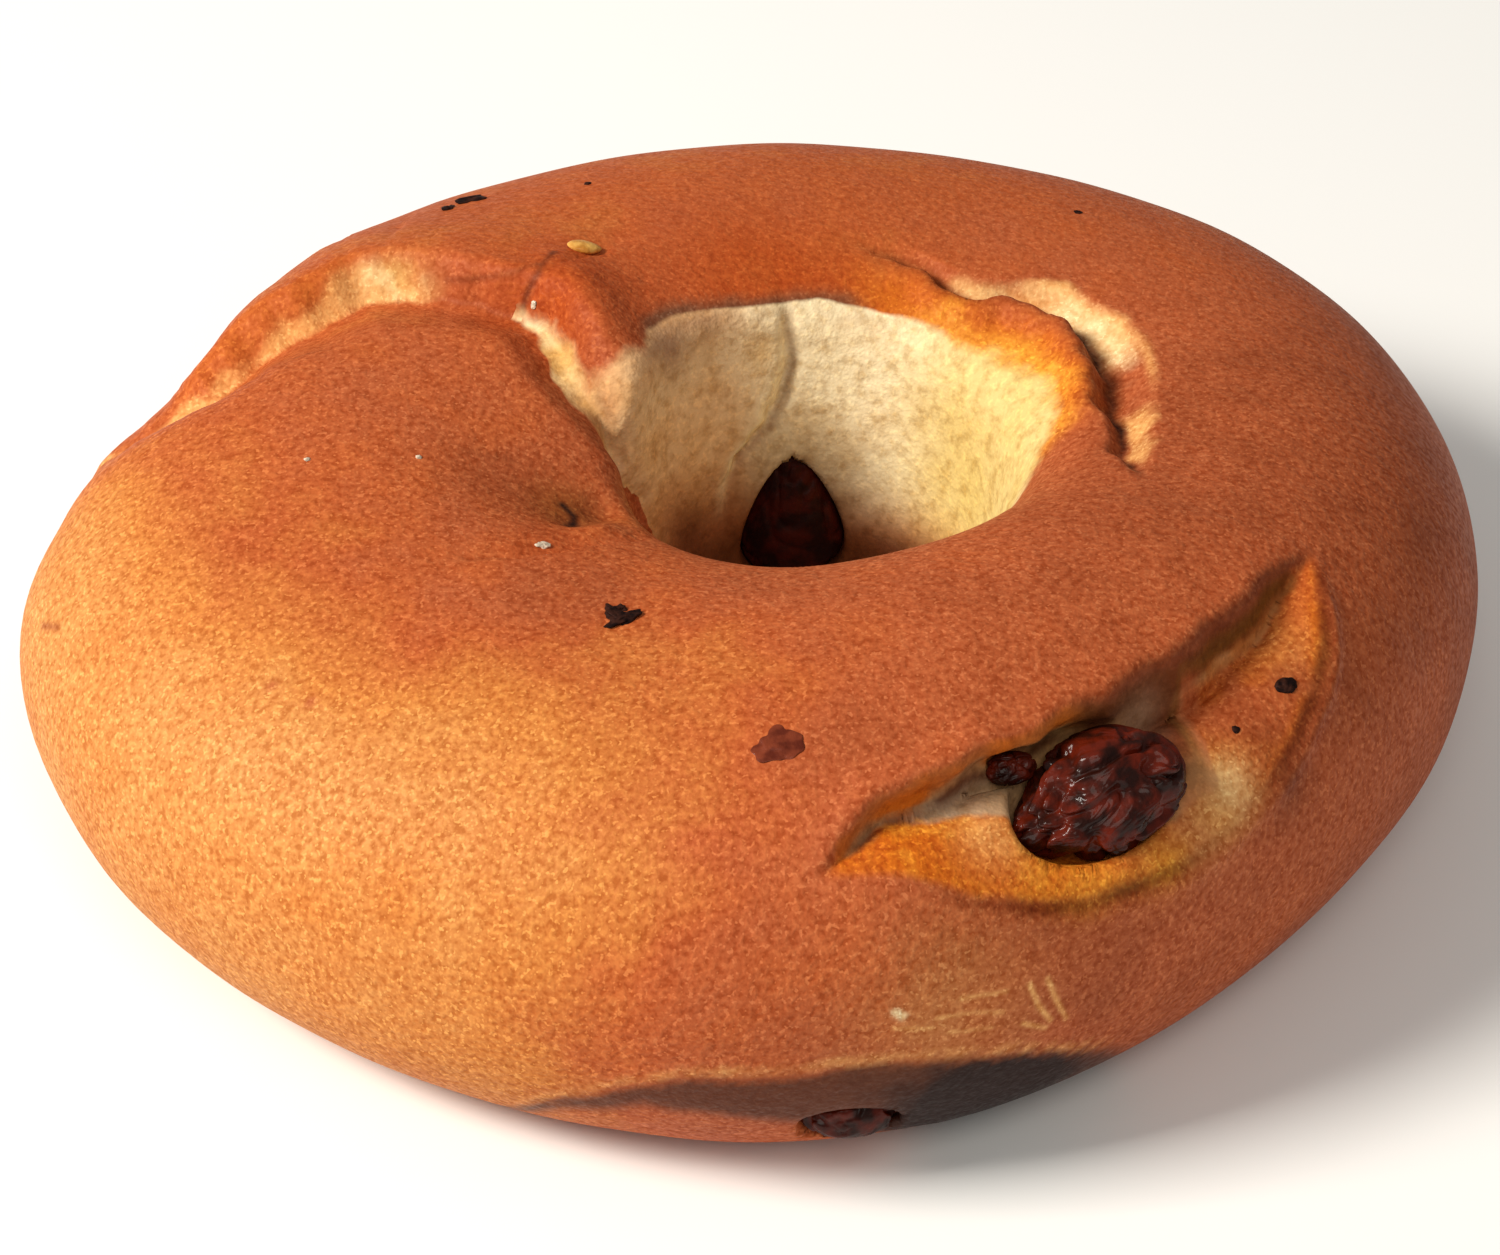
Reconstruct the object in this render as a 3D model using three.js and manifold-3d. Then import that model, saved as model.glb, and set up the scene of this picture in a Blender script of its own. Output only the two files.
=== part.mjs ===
// A raisin bagel: one ring of baked dough whose rope ends overlap at the back left, with a
// small steep hole, a torn crack beside it, a long open split at the front right, and raisins.
// Millimetres, +Z up, resting on z = 0. +X is the right side, -Y the front.
import * as THREE from "three";
import { mergeVertices } from "three/addons/utils/BufferGeometryUtils.js";
import Module from "manifold-3d";

const wasm = await Module();
wasm.setup();

// ---- driving sizes ------------------------------------------------------------------------
// The hole's axis stands here, so that the outline is centred on the origin.
const HOLE_AXIS = { x: 3.78, y: -0.36 };
// A wave is [count round the ring, size in mm, angle of a crest in degrees].
const OUTER = {
  mean: 53.7,
  waves: [[1, 3.46, 155.4], [2, 3.02, 24.5], [3, 1.0, 45.1], [4, 0.5, 10.6], [5, 0.38, 50.3]],
};
const HOLE = { mean: 7.3, waves: [[1, 1.77, 17]] };
const TOP = { mean: 32.4, waves: [[1, 0.45, 265], [2, 1.36, 117.4]] };
const ROPE_BELOW = -3;
const ROPE_POWER = 2.25;
const BASE_ROUND = 3;
const BASE_TRIM = 0.06;
const WALL = { radius: 12.4, waves: [[1, 3.1, 80], [2, 0.5, 20]], lean: 0.16, middle: 14 };
const WALL_RIM = { mean: 3, waves: [[1, 1.8, -40]] };
const SWELLS = [
  { wavelength: 34, size: 0.16, turn: 0.7 },
  { wavelength: 11, size: 0.06, turn: 1.9 },
];
const RAISIN_GAP = 0.35;

// Stations along the features: ring angle, rope angle (0 outward, 90 up, 180 to the hole), then
// the feature's own columns.
// The join of the rope's ends: depth, steep reach, gentle reach, lift of the steep side.
const JOIN = [
  [171, -40, 0.4, 6, 8, 0], [170.5, -10, 0.6, 6, 9, 0], [169.5, 10, 1, 6, 9, 0],
  [168.5, 24, 1.9, 5.5, 9, 0.2], [166.5, 36, 2.7, 3.5, 9, 0.8], [162.3, 44, 2.6, 2.8, 9, 1.2],
  [159, 50.5, 2.4, 2.5, 9, 1.4], [155.6, 56.3, 2.2, 2.4, 8.5, 1.4], [152.5, 60.5, 2, 2.3, 8, 1.4],
  [149.8, 66, 2, 2.3, 8, 1.4], [148.2, 74.5, 2, 2.3, 7, 1.4], [147.5, 82.3, 2, 2.3, 7, 1.3],
  [146.8, 90.6, 2, 2.3, 6, 1.2], [145.5, 98, 2.1, 2.3, 5.5, 1.1], [145, 106, 2.2, 2.3, 5, 1],
  [148.5, 115.5, 2.3, 2.3, 5, 0.8], [152, 123.5, 2.3, 2.3, 5, 0.6],
  [157.5, 131.5, 2.1, 2.3, 4.5, 0.4], [162, 139.5, 1.8, 2.2, 4.5, 0.3], [158, 150, 1.2, 2, 4, 0.1],
  [151, 165, 0.8, 2, 4, 0.1], [145, 182, 0.3, 2, 4, 0],
];
// The upright crease in the far wall of the hole, with the join's columns.
const WALL_CREASE = [
  [95.7, 126, 0.1, 1.3, 2, 0.1], [94.7, 133, 0.5, 1.3, 2, 0.3], [92.8, 140.5, 0.8, 1.3, 2, 0.4],
  [94.3, 147, 0.7, 1.3, 2, 0.5], [97.8, 154, 0.7, 1.3, 2, 0.6], [101.5, 161.4, 0.7, 1.3, 2, 0.6],
  [104.6, 170, 0.6, 1.3, 2, 0.5], [108.5, 177, 0.2, 1.3, 2, 0.1],
];
// The torn crack: depth, width of the torn side, height of the ridge beside it.
const CRACK = [
  [78, 107, 0.2, 1, 0.1], [70, 110, 0.8, 1.4, 0.4], [62, 115, 1.4, 1.8, 0.8],
  [56, 116, 1.8, 2, 1], [50, 112.5, 1.9, 2.4, 1.1], [43.5, 109.8, 2, 3, 1.1],
  [35, 110.5, 2, 3.7, 1.2], [28.5, 111.5, 2.1, 3.8, 1.2], [20.5, 114.8, 2.1, 4.1, 1.2],
  [9.6, 115.2, 1.9, 3.4, 1], [-1, 113.2, 1.8, 3, 0.8], [-7, 110, 1.4, 2.3, 0.5],
  [-14, 104, 0.3, 1, 0.1],
];
// The open split: half width, place of the valley, depth, upper lip, lower lip, fullness of the
// lower side, overhang of the upper lip.
const SPLIT = [
  [-90, 35.5, 0.3, 0.2, 0.1, 0, 0, 0.6, 0], [-85, 40, 2.3, 0.35, 1.9, 0.4, 0.3, 0.5, 0.3],
  [-80, 41.5, 3.8, 0.4, 3.1, 0.6, 0.5, 0.45, 0.6], [-75, 40.5, 5.1, 0.42, 4.1, 0.7, 0.8, 0.42, 0.9],
  [-69, 39.2, 6, 0.45, 4.8, 0.7, 1.2, 0.42, 1.1], [-62, 39, 6.5, 0.4, 4.9, 0.7, 1.5, 0.42, 1],
  [-54.5, 40.2, 6.3, 0.3, 4.5, 0.7, 1.8, 0.45, 0.7], [-46, 43.5, 5.4, 0.22, 3.9, 0.6, 1.9, 0.5, 0.4],
  [-38, 48, 4.2, 0.2, 3.2, 0.5, 1.9, 0.55, 0.3], [-31, 53, 2.7, 0.12, 2.3, 0.4, 1.5, 0.6, 0.2],
  [-26, 56, 1.3, 0.1, 1.1, 0.2, 0.4, 0.7, 0.1], [-22, 57.5, 0.3, 0.2, 0.2, 0, 0, 0.7, 0],
];
// Rounded ridges: height, width. The first is the rope's end curling into the hole.
const CURL = [
  [131, 94, 0.1, 2.5], [135, 101, 0.8, 3], [139, 111, 1.4, 3.2], [143, 121, 1.6, 3.2],
  [147, 131, 1.3, 3.2], [148, 142, 0.4, 3.2],
];
const JOIN_ROLL = [
  [147.5, 75, 0.05, 1.2], [146, 81, 0.5, 1.2], [144.5, 88, 0.65, 1.3], [142.6, 95, 0.5, 1.3],
  [141, 101, 0.05, 1.2],
];
// Lumps and dents: ring angle, rope angle, radius, height.
const LUMPS = [
  [-160.5, 134.5, 2.6, -1.8], [-162, 129, 4.2, -1], [-172, 117, 4, -0.5], [-150, 131, 2, 0.5],
  [176, 80, 12, 0.5], [120, 52, 14, -0.7], [143, 38, 5, 0.4], [150, 28, 5, -0.3],
  [161, 24, 7, -2.6], [177, 14, 5, -0.6], [-172, 6, 7, 0.5], [169, 14, 2.8, 0.9],
];
// Raisins: centre from the hole's axis, half sizes, turn about each axis, wrinkle depth, detail.
const RAISINS = {
  raisin_split: {
    at: [19.6, -37.3, 27.2], half: [6.9, 4.6, 3.4], turn: [40, -12, 24], wrinkle: 0.2,
    rings: 14, around: 28, phase: 0.4,
  },
  raisin_split_small: {
    at: [13.6, -36.6, 28.8], half: [1.9, 1.3, 1.1], turn: [30, 0, 20], wrinkle: 0.16,
    rings: 7, around: 14, phase: 1.7,
  },
  raisin_hole: {
    at: [-1.5, 16.2, 12.5], half: [6.6, 3.3, 7.2], turn: [-9, 0, 3], wrinkle: 0.14,
    rings: 10, around: 20, phase: 2.6, narrow: 0.5,
  },
  raisin_base: {
    at: [2.3, -47.3, 7.0], half: [3.8, 2.6, 2.2], turn: [28, 4, 6], wrinkle: 0.14,
    rings: 8, around: 18, phase: 3.9,
  },
};
const SEED = { ring: 129.5, rope: 97, half: [1.35, 0.85, 0.42], turn: 12, rings: 5, around: 8 };

// ---- small vector and blend helpers ---------------------------------------------------------
const rad = THREE.MathUtils.degToRad;
const clamp = THREE.MathUtils.clamp;
const add = (a, b, k = 1) => [a[0] + b[0] * k, a[1] + b[1] * k, a[2] + b[2] * k];
const dot = (a, b) => a[0] * b[0] + a[1] * b[1] + a[2] * b[2];
const size = (a) => Math.sqrt(dot(a, a));
const unit = (a) => add([0, 0, 0], a, 1 / Math.max(size(a), 1e-9));
const cross = (a, b) => [
  a[1] * b[2] - a[2] * b[1],
  a[2] * b[0] - a[0] * b[2],
  a[0] * b[1] - a[1] * b[0],
];
const lerp = (a, b, k) => a + (b - a) * k;
const bell = (x) => Math.exp(-x * x);
const rise = (x) => {
  const k = clamp(x, 0, 1);
  return k * k * (3 - 2 * k);
};
const softMax = (a, b, k) => {
  const h = Math.max(k - Math.abs(a - b), 0) / k;
  return Math.max(a, b) + (h * h * k) / 4;
};
const waved = ({ mean, waves }, angle) => {
  let value = mean;
  for (const [count, high, crest] of waves) {
    value += high * Math.cos(count * (angle - rad(crest)));
  }
  return value;
};

// ---- the plain ring of rope -------------------------------------------------------------------
function ropeSizes(angle) {
  const outer = waved(OUTER, angle);
  const inner = waved(HOLE, angle);
  const top = waved(TOP, angle);
  return {
    middle: (outer + inner) / 2,
    wide: (outer - inner) / 2,
    height: (top + ROPE_BELOW) / 2,
    tall: (top - ROPE_BELOW) / 2,
  };
}
// Distance from the plain ring's surface, negative inside.
function ringField(p) {
  const rope = ropeSizes(Math.atan2(p[1], p[0]));
  const across = Math.abs(Math.hypot(p[0], p[1]) - rope.middle) / rope.wide;
  const up = Math.abs(p[2] - rope.height) / rope.tall;
  const n = ROPE_POWER;
  const g = Math.pow(across ** n + up ** n, 1 / n) + 1e-9;
  const slopeX = (across ** (n - 1) / rope.wide) * g ** (1 - n);
  const slopeZ = (up ** (n - 1) / rope.tall) * g ** (1 - n);
  return (g - 1) / Math.max(Math.hypot(slopeX, slopeZ), 1e-3);
}
function ringPoint(angle, rope) {
  const s = ropeSizes(angle);
  const across = Math.abs(Math.cos(rope) / s.wide) ** ROPE_POWER;
  const up = Math.abs(Math.sin(rope) / s.tall) ** ROPE_POWER;
  const reach = (across + up) ** (-1 / ROPE_POWER);
  const out = s.middle + reach * Math.cos(rope);
  return [out * Math.cos(angle), out * Math.sin(angle), s.height + reach * Math.sin(rope)];
}
function slopeOf(field, p, step = 0.03) {
  return [0, 1, 2].map((axis) => {
    const ahead = [...p];
    const behind = [...p];
    ahead[axis] += step;
    behind[axis] -= step;
    return (field(ahead) - field(behind)) / (2 * step);
  });
}

// ---- lines drawn on the ring -----------------------------------------------------------------
const LINE_STEPS = 48;
function smoothRows(rows, steps) {
  const first = rows[0].map((value, k) => 2 * value - rows[1][k]);
  const last = rows.at(-1).map((value, k) => 2 * value - rows.at(-2)[k]);
  const all = [first, ...rows, last];
  const out = [];
  for (let i = 0; i <= steps; i += 1) {
    const u = (i / steps) * (rows.length - 1);
    const at = Math.min(Math.floor(u), rows.length - 2);
    const t = u - at;
    const [a, b, c, d] = [all[at], all[at + 1], all[at + 2], all[at + 3]];
    out.push(b.map((value, k) => 0.5 * (2 * value + (c[k] - a[k]) * t
      + (2 * a[k] - 5 * value + 4 * c[k] - d[k]) * t * t
      + (3 * value - a[k] - 3 * c[k] + d[k]) * t ** 3)));
  }
  return out;
}
class SurfaceLine {
  constructor(rows, reach, side) {
    const smooth = smoothRows(rows, LINE_STEPS);
    const raw = smooth.map((row) => ringPoint(rad(row[0]), rad(row[1])));
    const along = [0];
    for (let i = 1; i < raw.length; i += 1) {
      along.push(along[i - 1] + size(add(raw[i], raw[i - 1], -1)));
    }
    this.length = along.at(-1);
    this.reach = reach;
    this.points = [];
    this.columns = [];
    let k = 0;
    for (let i = 0; i <= LINE_STEPS; i += 1) {
      const want = (this.length * i) / LINE_STEPS;
      while (k < LINE_STEPS - 1 && along[k + 1] < want) {
        k += 1;
      }
      const t = (want - along[k]) / (along[k + 1] - along[k]);
      this.points.push(add(raw[k], add(raw[k + 1], raw[k], -1), t));
      this.columns.push(smooth[k].slice(2).map((v, c) => lerp(v, smooth[k + 1][c + 2], t)));
    }
    this.sides = this.points.map((p, i) => {
      const ahead = this.points[Math.min(i + 1, LINE_STEPS)];
      const behind = this.points[Math.max(i - 1, 0)];
      const way = unit(add(ahead, behind, -1));
      return unit(add([0, 0, 0], cross(unit(slopeOf(ringField, p)), way), side));
    });
    const box = new THREE.Box3().setFromPoints(this.points.map((p) => new THREE.Vector3(...p)));
    this.middle = box.getCenter(new THREE.Vector3()).toArray();
    this.radius = Math.max(...this.points.map((p) => size(add(p, this.middle, -1)))) + reach;
  }

  // How much of the feature acts at a point: it fades out at the line's reach.
  share(p, height) {
    const far = size(add(p, this.middle, -1));
    return rise((this.radius - far) / 4) * rise((this.reach - Math.abs(height)) / 3);
  }

  locate(p) {
    let best = Infinity;
    let found = null;
    for (let i = 0; i < LINE_STEPS; i += 1) {
      const step = add(this.points[i + 1], this.points[i], -1);
      const long = dot(step, step);
      const u = dot(add(p, this.points[i], -1), step) / long;
      const on = clamp(u, 0, 1);
      const off = add(p, add(this.points[i], step, on), -1);
      const near = dot(off, off);
      if (near < best) {
        best = near;
        found = { i, on, off, over: Math.abs(u - on) * Math.sqrt(long) };
      }
    }
    const { i, on, off, over } = found;
    const side = unit(add(this.sides[i], add(this.sides[i + 1], this.sides[i], -1), on));
    return {
      along: ((i + on) * this.length) / LINE_STEPS,
      across: dot(off, side),
      over,
      side,
      row: this.columns[i].map((v, c) => lerp(v, this.columns[i + 1][c], on)),
    };
  }
}

// ---- the features --------------------------------------------------------------------------
const joinChange = (d, h, spot) => {
  const [depth, steep, gentle, lift] = spot.row;
  const t = spot.across + 0.22 * Math.sin(spot.along * 0.7) + 0.12 * Math.sin(spot.along * 1.9 + 1);
  const near = clamp(t / steep, 0, 1);
  const high = t >= 0
    ? lift * rise((t / steep) * 0.8) * bell(Math.max(t - steep, 0) / 7) - depth * (1 - near) ** 2.2
    : -depth * (1 - rise(-t / gentle));
  return d - high * bell(spot.over / 3);
};
const ridgeChange = (d, h, spot) => {
  const [high, wide] = spot.row;
  return d - high * bell(spot.across / wide) * bell(spot.over / 2);
};
const crackChange = (d, h, spot) => {
  const [depth, torn, ridge] = spot.row;
  const ragged = 0.25 * Math.sin(spot.along * 0.9) + 0.14 * Math.sin(spot.along * 1.9 + 1);
  const t = spot.across + ragged;
  const wide = Math.max(torn + ragged * 1.2, 0.6);
  const out = clamp(t / wide, 0, 1);
  const floor = t >= 0
    ? -depth * (1 - out) ** 1.2 * (1 + 0.5 * out)
    : -depth * (1 - rise(-t / 1.1));
  return d - (floor + ridge * bell((t + 1.7) / 1.6)) * bell(spot.over / 1.2);
};
function splitPlace(spot) {
  const [half, valley, depth, upper, lower, full, hang] = spot.row;
  const ragged = 0.2 * Math.sin(spot.along * 0.75 + 0.5) + 0.06 * Math.sin(spot.along * 1.7 + 1);
  const wide = Math.max(half - spot.over * 0.8, 0.05);
  return {
    t: spot.across + ragged * (spot.across > 0 ? 1 : 0.5),
    wide,
    deep: Math.max(depth - spot.over, 0.02),
    valley: valley * wide,
    upper,
    lower,
    full,
    hang,
  };
}
const splitChange = (d, h, spot) => {
  const s = splitPlace(spot);
  const down = (s.valley - s.t) / (s.valley + s.wide);
  const up = (s.t - s.valley) / (s.wide - s.valley);
  const low = s.t <= s.valley;
  const floor = low
    ? s.deep * clamp(down, 0, 1.6) ** s.full - s.deep
    : s.deep * clamp(up, 0, 2) ** 0.8 - s.deep;
  const slope = low
    ? (s.deep * s.full * clamp(down, 0.12, 1.6) ** (s.full - 1)) / (s.valley + s.wide)
    : (s.deep * 0.8 * clamp(up, 0.1, 2) ** -0.2) / (s.wide - s.valley);
  const cut = (h - floor) / Math.sqrt(1 + slope * slope);
  const fade = clamp(s.wide / 2, 0, 1) * bell(spot.over / 1.5);
  const lips = s.upper * bell((s.t - s.wide - 0.9) / 1.5) + s.lower * bell((s.t + s.wide + 0.4) / 1.2);
  return softMax(d - lips * fade, cut, 0.4);
};
const FEATURES = [
  { line: new SurfaceLine(JOIN, 16, 1), change: joinChange },
  { line: new SurfaceLine(CRACK, 9, 1), change: crackChange },
  { line: new SurfaceLine(SPLIT, 12, 1), change: splitChange },
  { line: new SurfaceLine(WALL_CREASE, 9, -1), change: joinChange },
  { line: new SurfaceLine(CURL, 9, 1), change: ridgeChange },
  { line: new SurfaceLine(JOIN_ROLL, 9, 1), change: ridgeChange },
];
const SPLIT_LINE = FEATURES[2].line;
const LUMP_SPOTS = LUMPS.map(([ring, rope, radius, height]) => ({
  at: ringPoint(rad(ring), rad(rope)),
  radius,
  height,
}));

// Gentle unevenness of the whole surface.
function swell(p, { wavelength, size: high, turn }) {
  const count = 7;
  let sum = 0;
  for (let k = 0; k < count; k += 1) {
    const z = 1 - (2 * (k + 0.5)) / count;
    const flat = Math.sqrt(1 - z * z);
    const angle = 2.399963 * k + turn;
    const way = [flat * Math.cos(angle), flat * Math.sin(angle), z];
    const long = wavelength * (1 + 0.13 * ((k * 5) % 7));
    sum += Math.sin((dot(p, way) * 2 * Math.PI) / long + turn * 3.1 + k * 2.1);
  }
  return (sum * high) / Math.sqrt(count);
}
// The dough without its tears and folds.
function bodyField(p) {
  let d = ringField(p);
  for (const lump of LUMP_SPOTS) {
    const far = size(add(p, lump.at, -1));
    d -= lump.height * bell(far / lump.radius);
  }
  const angle = Math.atan2(p[1], p[0]);
  const radius = waved({ mean: WALL.radius, waves: WALL.waves }, angle);
  const wall = (radius + WALL.lean * (p[2] - WALL.middle) - Math.hypot(p[0], p[1])) * 0.985;
  d = softMax(d, wall, waved(WALL_RIM, angle));
  for (const one of SWELLS) {
    d -= swell(p, one);
  }
  return d;
}
function doughField(p) {
  const base = bodyField(p);
  let d = base;
  for (const { line, change } of FEATURES) {
    const share = line.share(p, base);
    if (share > 0) {
      d = lerp(d, change(d, base, line.locate(p)), share);
    }
  }
  return softMax(d, -p[2], BASE_ROUND);
}
// The upper lip of the split leans out over the hollow.
function leanLip(p) {
  const h = bodyField(p);
  if (SPLIT_LINE.share(p, h) <= 0) {
    return p;
  }
  const spot = SPLIT_LINE.locate(p);
  const s = splitPlace(spot);
  const lip = bell((s.t - s.wide - 0.4) / 2.2) * rise((h + 0.35 * s.deep) / (0.35 * s.deep + 0.1));
  const back = bell((s.t - 0.5 * (s.valley + s.wide)) / (0.5 * (s.wide - s.valley) + 0.4))
    * bell((h + 0.62 * s.deep) / (0.3 * s.deep + 0.1));
  return add(p, spot.side, s.hang * (0.9 * back - 0.6 * lip) * bell(spot.over));
}

// ---- the bread's surface ------------------------------------------------------------------
const RING_STEPS = 84;
const ROPE_STEPS = 32;
const COARSE_EDGE = 4.6;
const FINE_EDGE = 1.75;
const FINE_REACH = [3, 4.5, 7.5, 2, 2.5, 1.5];

function wantedEdge(p) {
  if (p[2] < 0.5) {
    return 7;
  }
  const base = bodyField(p);
  let edge = COARSE_EDGE;
  FEATURES.forEach(({ line }, i) => {
    if (line.share(p, base) > 0) {
      const spot = line.locate(p);
      const away = Math.max(Math.abs(spot.across) - FINE_REACH[i], 0) + spot.over;
      edge = Math.min(edge, FINE_EDGE + 0.45 * away);
    }
  });
  return edge;
}
// A torus whose points are moved out from the rope's centre line to the dough's surface.
function firstSurface() {
  const torus = new THREE.TorusGeometry(30, 20, ROPE_STEPS, RING_STEPS);
  torus.deleteAttribute("normal");
  torus.deleteAttribute("uv");
  const closed = mergeVertices(torus, 1e-3);
  const spots = closed.attributes.position;
  const points = [];
  for (let i = 0; i < spots.count; i += 1) {
    const [x, y, z] = [spots.getX(i), spots.getY(i), spots.getZ(i)];
    const angle = Math.atan2(y, x);
    const rope = Math.atan2(z, Math.hypot(x, y) - 30);
    const s = ropeSizes(angle);
    const start = [s.middle * Math.cos(angle), s.middle * Math.sin(angle), s.height];
    const way = [
      Math.cos(rope) * Math.cos(angle),
      Math.cos(rope) * Math.sin(angle),
      Math.sin(rope),
    ];
    let reach = 3;
    for (let step = 0; step < 26; step += 1) {
      const d = doughField(add(start, way, reach));
      reach += d < 0 ? -d * 0.7 : -d * 0.5;
    }
    points.push(add(start, way, reach));
  }
  const faces = [];
  for (let i = 0; i < closed.index.count; i += 3) {
    faces.push([0, 1, 2].map((k) => closed.index.getX(i + k)));
  }
  return { points, faces };
}
// Move a point down the slope of the field onto the surface.
function settle(start) {
  let p = start;
  for (let step = 0; step < 4; step += 1) {
    const slope = slopeOf(doughField, p);
    const steep = Math.max(dot(slope, slope), 0.3);
    const move = clamp(doughField(p) / steep, -0.8, 0.8);
    p = add(p, slope, -move);
  }
  return p;
}
// Split every edge that is longer than its place asks for, at its middle.
function refine({ points, faces }) {
  const middles = new Map();
  const middleOf = (a, b) => {
    const key = a < b ? `${a}_${b}` : `${b}_${a}`;
    if (!middles.has(key)) {
      const mid = add(points[a], add(points[b], points[a], -1), 0.5);
      const long = size(add(points[a], points[b], -1));
      let index = -1;
      if (long > wantedEdge(mid) * 1.35) {
        index = points.length;
        points.push(settle(mid));
      }
      middles.set(key, index);
    }
    return middles.get(key);
  };
  const out = [];
  for (const face of faces) {
    const [a, b, c] = face;
    const [ab, bc, ca] = [middleOf(a, b), middleOf(b, c), middleOf(c, a)];
    const cuts = [ab, bc, ca].filter((m) => m >= 0).length;
    if (cuts === 0) {
      out.push(face);
    } else if (cuts === 3) {
      out.push([a, ab, ca], [ab, b, bc], [ca, bc, c], [ab, bc, ca]);
    } else {
      // turn the face so that its first edge is the one cut, or the one left whole
      const only = cuts === 1 ? [ab, bc, ca].findIndex((m) => m >= 0)
        : [ab, bc, ca].findIndex((m) => m < 0);
      const [p, q, r] = [0, 1, 2].map((k) => face[(k + only) % 3]);
      const [pq, qr, rp] = [0, 1, 2].map((k) => [ab, bc, ca][(k + only) % 3]);
      if (cuts === 1) {
        out.push([p, pq, r], [pq, q, r]);
      } else {
        out.push([p, q, qr], [p, qr, rp], [rp, qr, r]);
      }
    }
  }
  return { points, faces: out };
}

// ---- solids -----------------------------------------------------------------------------------
function toSolid(points, faces) {
  return new wasm.Manifold(new wasm.Mesh({
    numProp: 3,
    vertProperties: new Float32Array(points.flat()),
    triVerts: new Uint32Array(faces.flat()),
  }));
}
function geometrySolid(geometry) {
  const bare = geometry.clone();
  bare.deleteAttribute("normal");
  bare.deleteAttribute("uv");
  const merged = mergeVertices(bare, 1e-4);
  return new wasm.Manifold(new wasm.Mesh({
    numProp: 3,
    vertProperties: new Float32Array(merged.attributes.position.array),
    triVerts: new Uint32Array(merged.index.array),
  }));
}
function solidGeometry(solid) {
  const mesh = solid.getMesh();
  const geometry = new THREE.BufferGeometry();
  const places = new THREE.BufferAttribute(new Float32Array(mesh.vertProperties), 3);
  geometry.setAttribute("position", places);
  geometry.setIndex(new THREE.BufferAttribute(new Uint32Array(mesh.triVerts), 1));
  geometry.computeVertexNormals();
  return geometry;
}
// A wrinkled raisin: an oval whose surface folds along wandering lines.
function raisinGeometry(raisin, gap) {
  const coarse = gap > 0 ? 0.75 : 1;
  const around = Math.round(raisin.around * coarse);
  const rings = Math.round(raisin.rings * coarse);
  const ball = new THREE.SphereGeometry(1, around, rings);
  const spots = ball.attributes.position;
  const place = new THREE.Matrix4().makeRotationFromEuler(
    new THREE.Euler(...raisin.turn.map(rad), "ZYX"),
  );
  place.setPosition(...add(raisin.at, [HOLE_AXIS.x, HOLE_AXIS.y, 0]));
  for (let i = 0; i < spots.count; i += 1) {
    const v = new THREE.Vector3().fromBufferAttribute(spots, i);
    const f = raisin.phase;
    const folds = Math.sin(v.x * 5.3 + 2.1 * Math.sin(v.y * 3.1 + f) + f)
      + 0.8 * Math.sin(v.y * 6.1 + 1.8 * Math.sin(v.z * 3.7 - f) + 2 * f)
      + 0.7 * Math.sin(v.z * 5.2 + 1.5 * Math.sin(v.x * 4.1 + 2 * f));
    const swollen = gap > 0 ? 1 : 1 + raisin.wrinkle * (0.28 * folds - 0.7);
    const thin = 1 - (raisin.narrow ?? 0) * rise(v.z * 0.5 + 0.5);
    v.multiplyScalar(swollen);
    v.multiply(new THREE.Vector3(
      raisin.half[0] * thin + gap,
      raisin.half[1] * thin + gap,
      raisin.half[2] + gap,
    ));
    v.applyMatrix4(place);
    spots.setXYZ(i, v.x, v.y, v.z);
  }
  return ball;
}
// A flat seed pressed into the crust, lying along the surface.
function seedGeometry() {
  const at = ringPoint(rad(SEED.ring), rad(SEED.rope));
  const on = settle(at);
  const up = unit(slopeOf(doughField, on));
  const long = unit(cross([0, Math.cos(rad(SEED.turn)), Math.sin(rad(SEED.turn))], up));
  const wide = cross(up, long);
  const ball = new THREE.SphereGeometry(1, SEED.around, SEED.rings);
  const spots = ball.attributes.position;
  for (let i = 0; i < spots.count; i += 1) {
    const [x, y, z] = [spots.getX(i), spots.getY(i), spots.getZ(i)];
    const taper = 1 - 0.35 * x;
    let p = add(on, long, x * SEED.half[0]);
    p = add(p, wide, y * SEED.half[1] * taper);
    p = add(p, up, z * SEED.half[2] + SEED.half[2] * 0.35);
    spots.setXYZ(i, p[0] + HOLE_AXIS.x, p[1] + HOLE_AXIS.y, p[2]);
  }
  return ball;
}

function breadSolid() {
  let surface = firstSurface();
  for (let round = 0; round < 3; round += 1) {
    surface = refine(surface);
  }
  const leaned = surface.points.map((p) => leanLip(p));
  const placed = leaned.map((p) => add(p, [HOLE_AXIS.x, HOLE_AXIS.y, -BASE_TRIM]));
  let bread = toSolid(placed, surface.faces);
  bread = bread.add(geometrySolid(seedGeometry()));
  const ground = new THREE.BoxGeometry(200, 200, 20);
  ground.translate(0, 0, -10);
  bread = bread.subtract(geometrySolid(ground));
  for (const raisin of Object.values(RAISINS)) {
    bread = bread.subtract(geometrySolid(raisinGeometry(raisin, RAISIN_GAP)));
  }
  return bread;
}

// ---- the scene graph --------------------------------------------------------------------------
const finish = (colour, roughness) => new THREE.MeshStandardMaterial({
  color: new THREE.Color(colour),
  roughness,
  metalness: 0,
});
const bagel = new THREE.Group();
const bread = new THREE.Mesh(solidGeometry(breadSolid()), finish("#b5713a", 0.6));
bread.name = "bread";
bagel.add(bread);
for (const [name, raisin] of Object.entries(RAISINS)) {
  const mesh = new THREE.Mesh(
    solidGeometry(geometrySolid(raisinGeometry(raisin, 0))),
    finish("#3a120c", 0.3),
  );
  mesh.name = name;
  bagel.add(mesh);
}

export default bagel;
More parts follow.
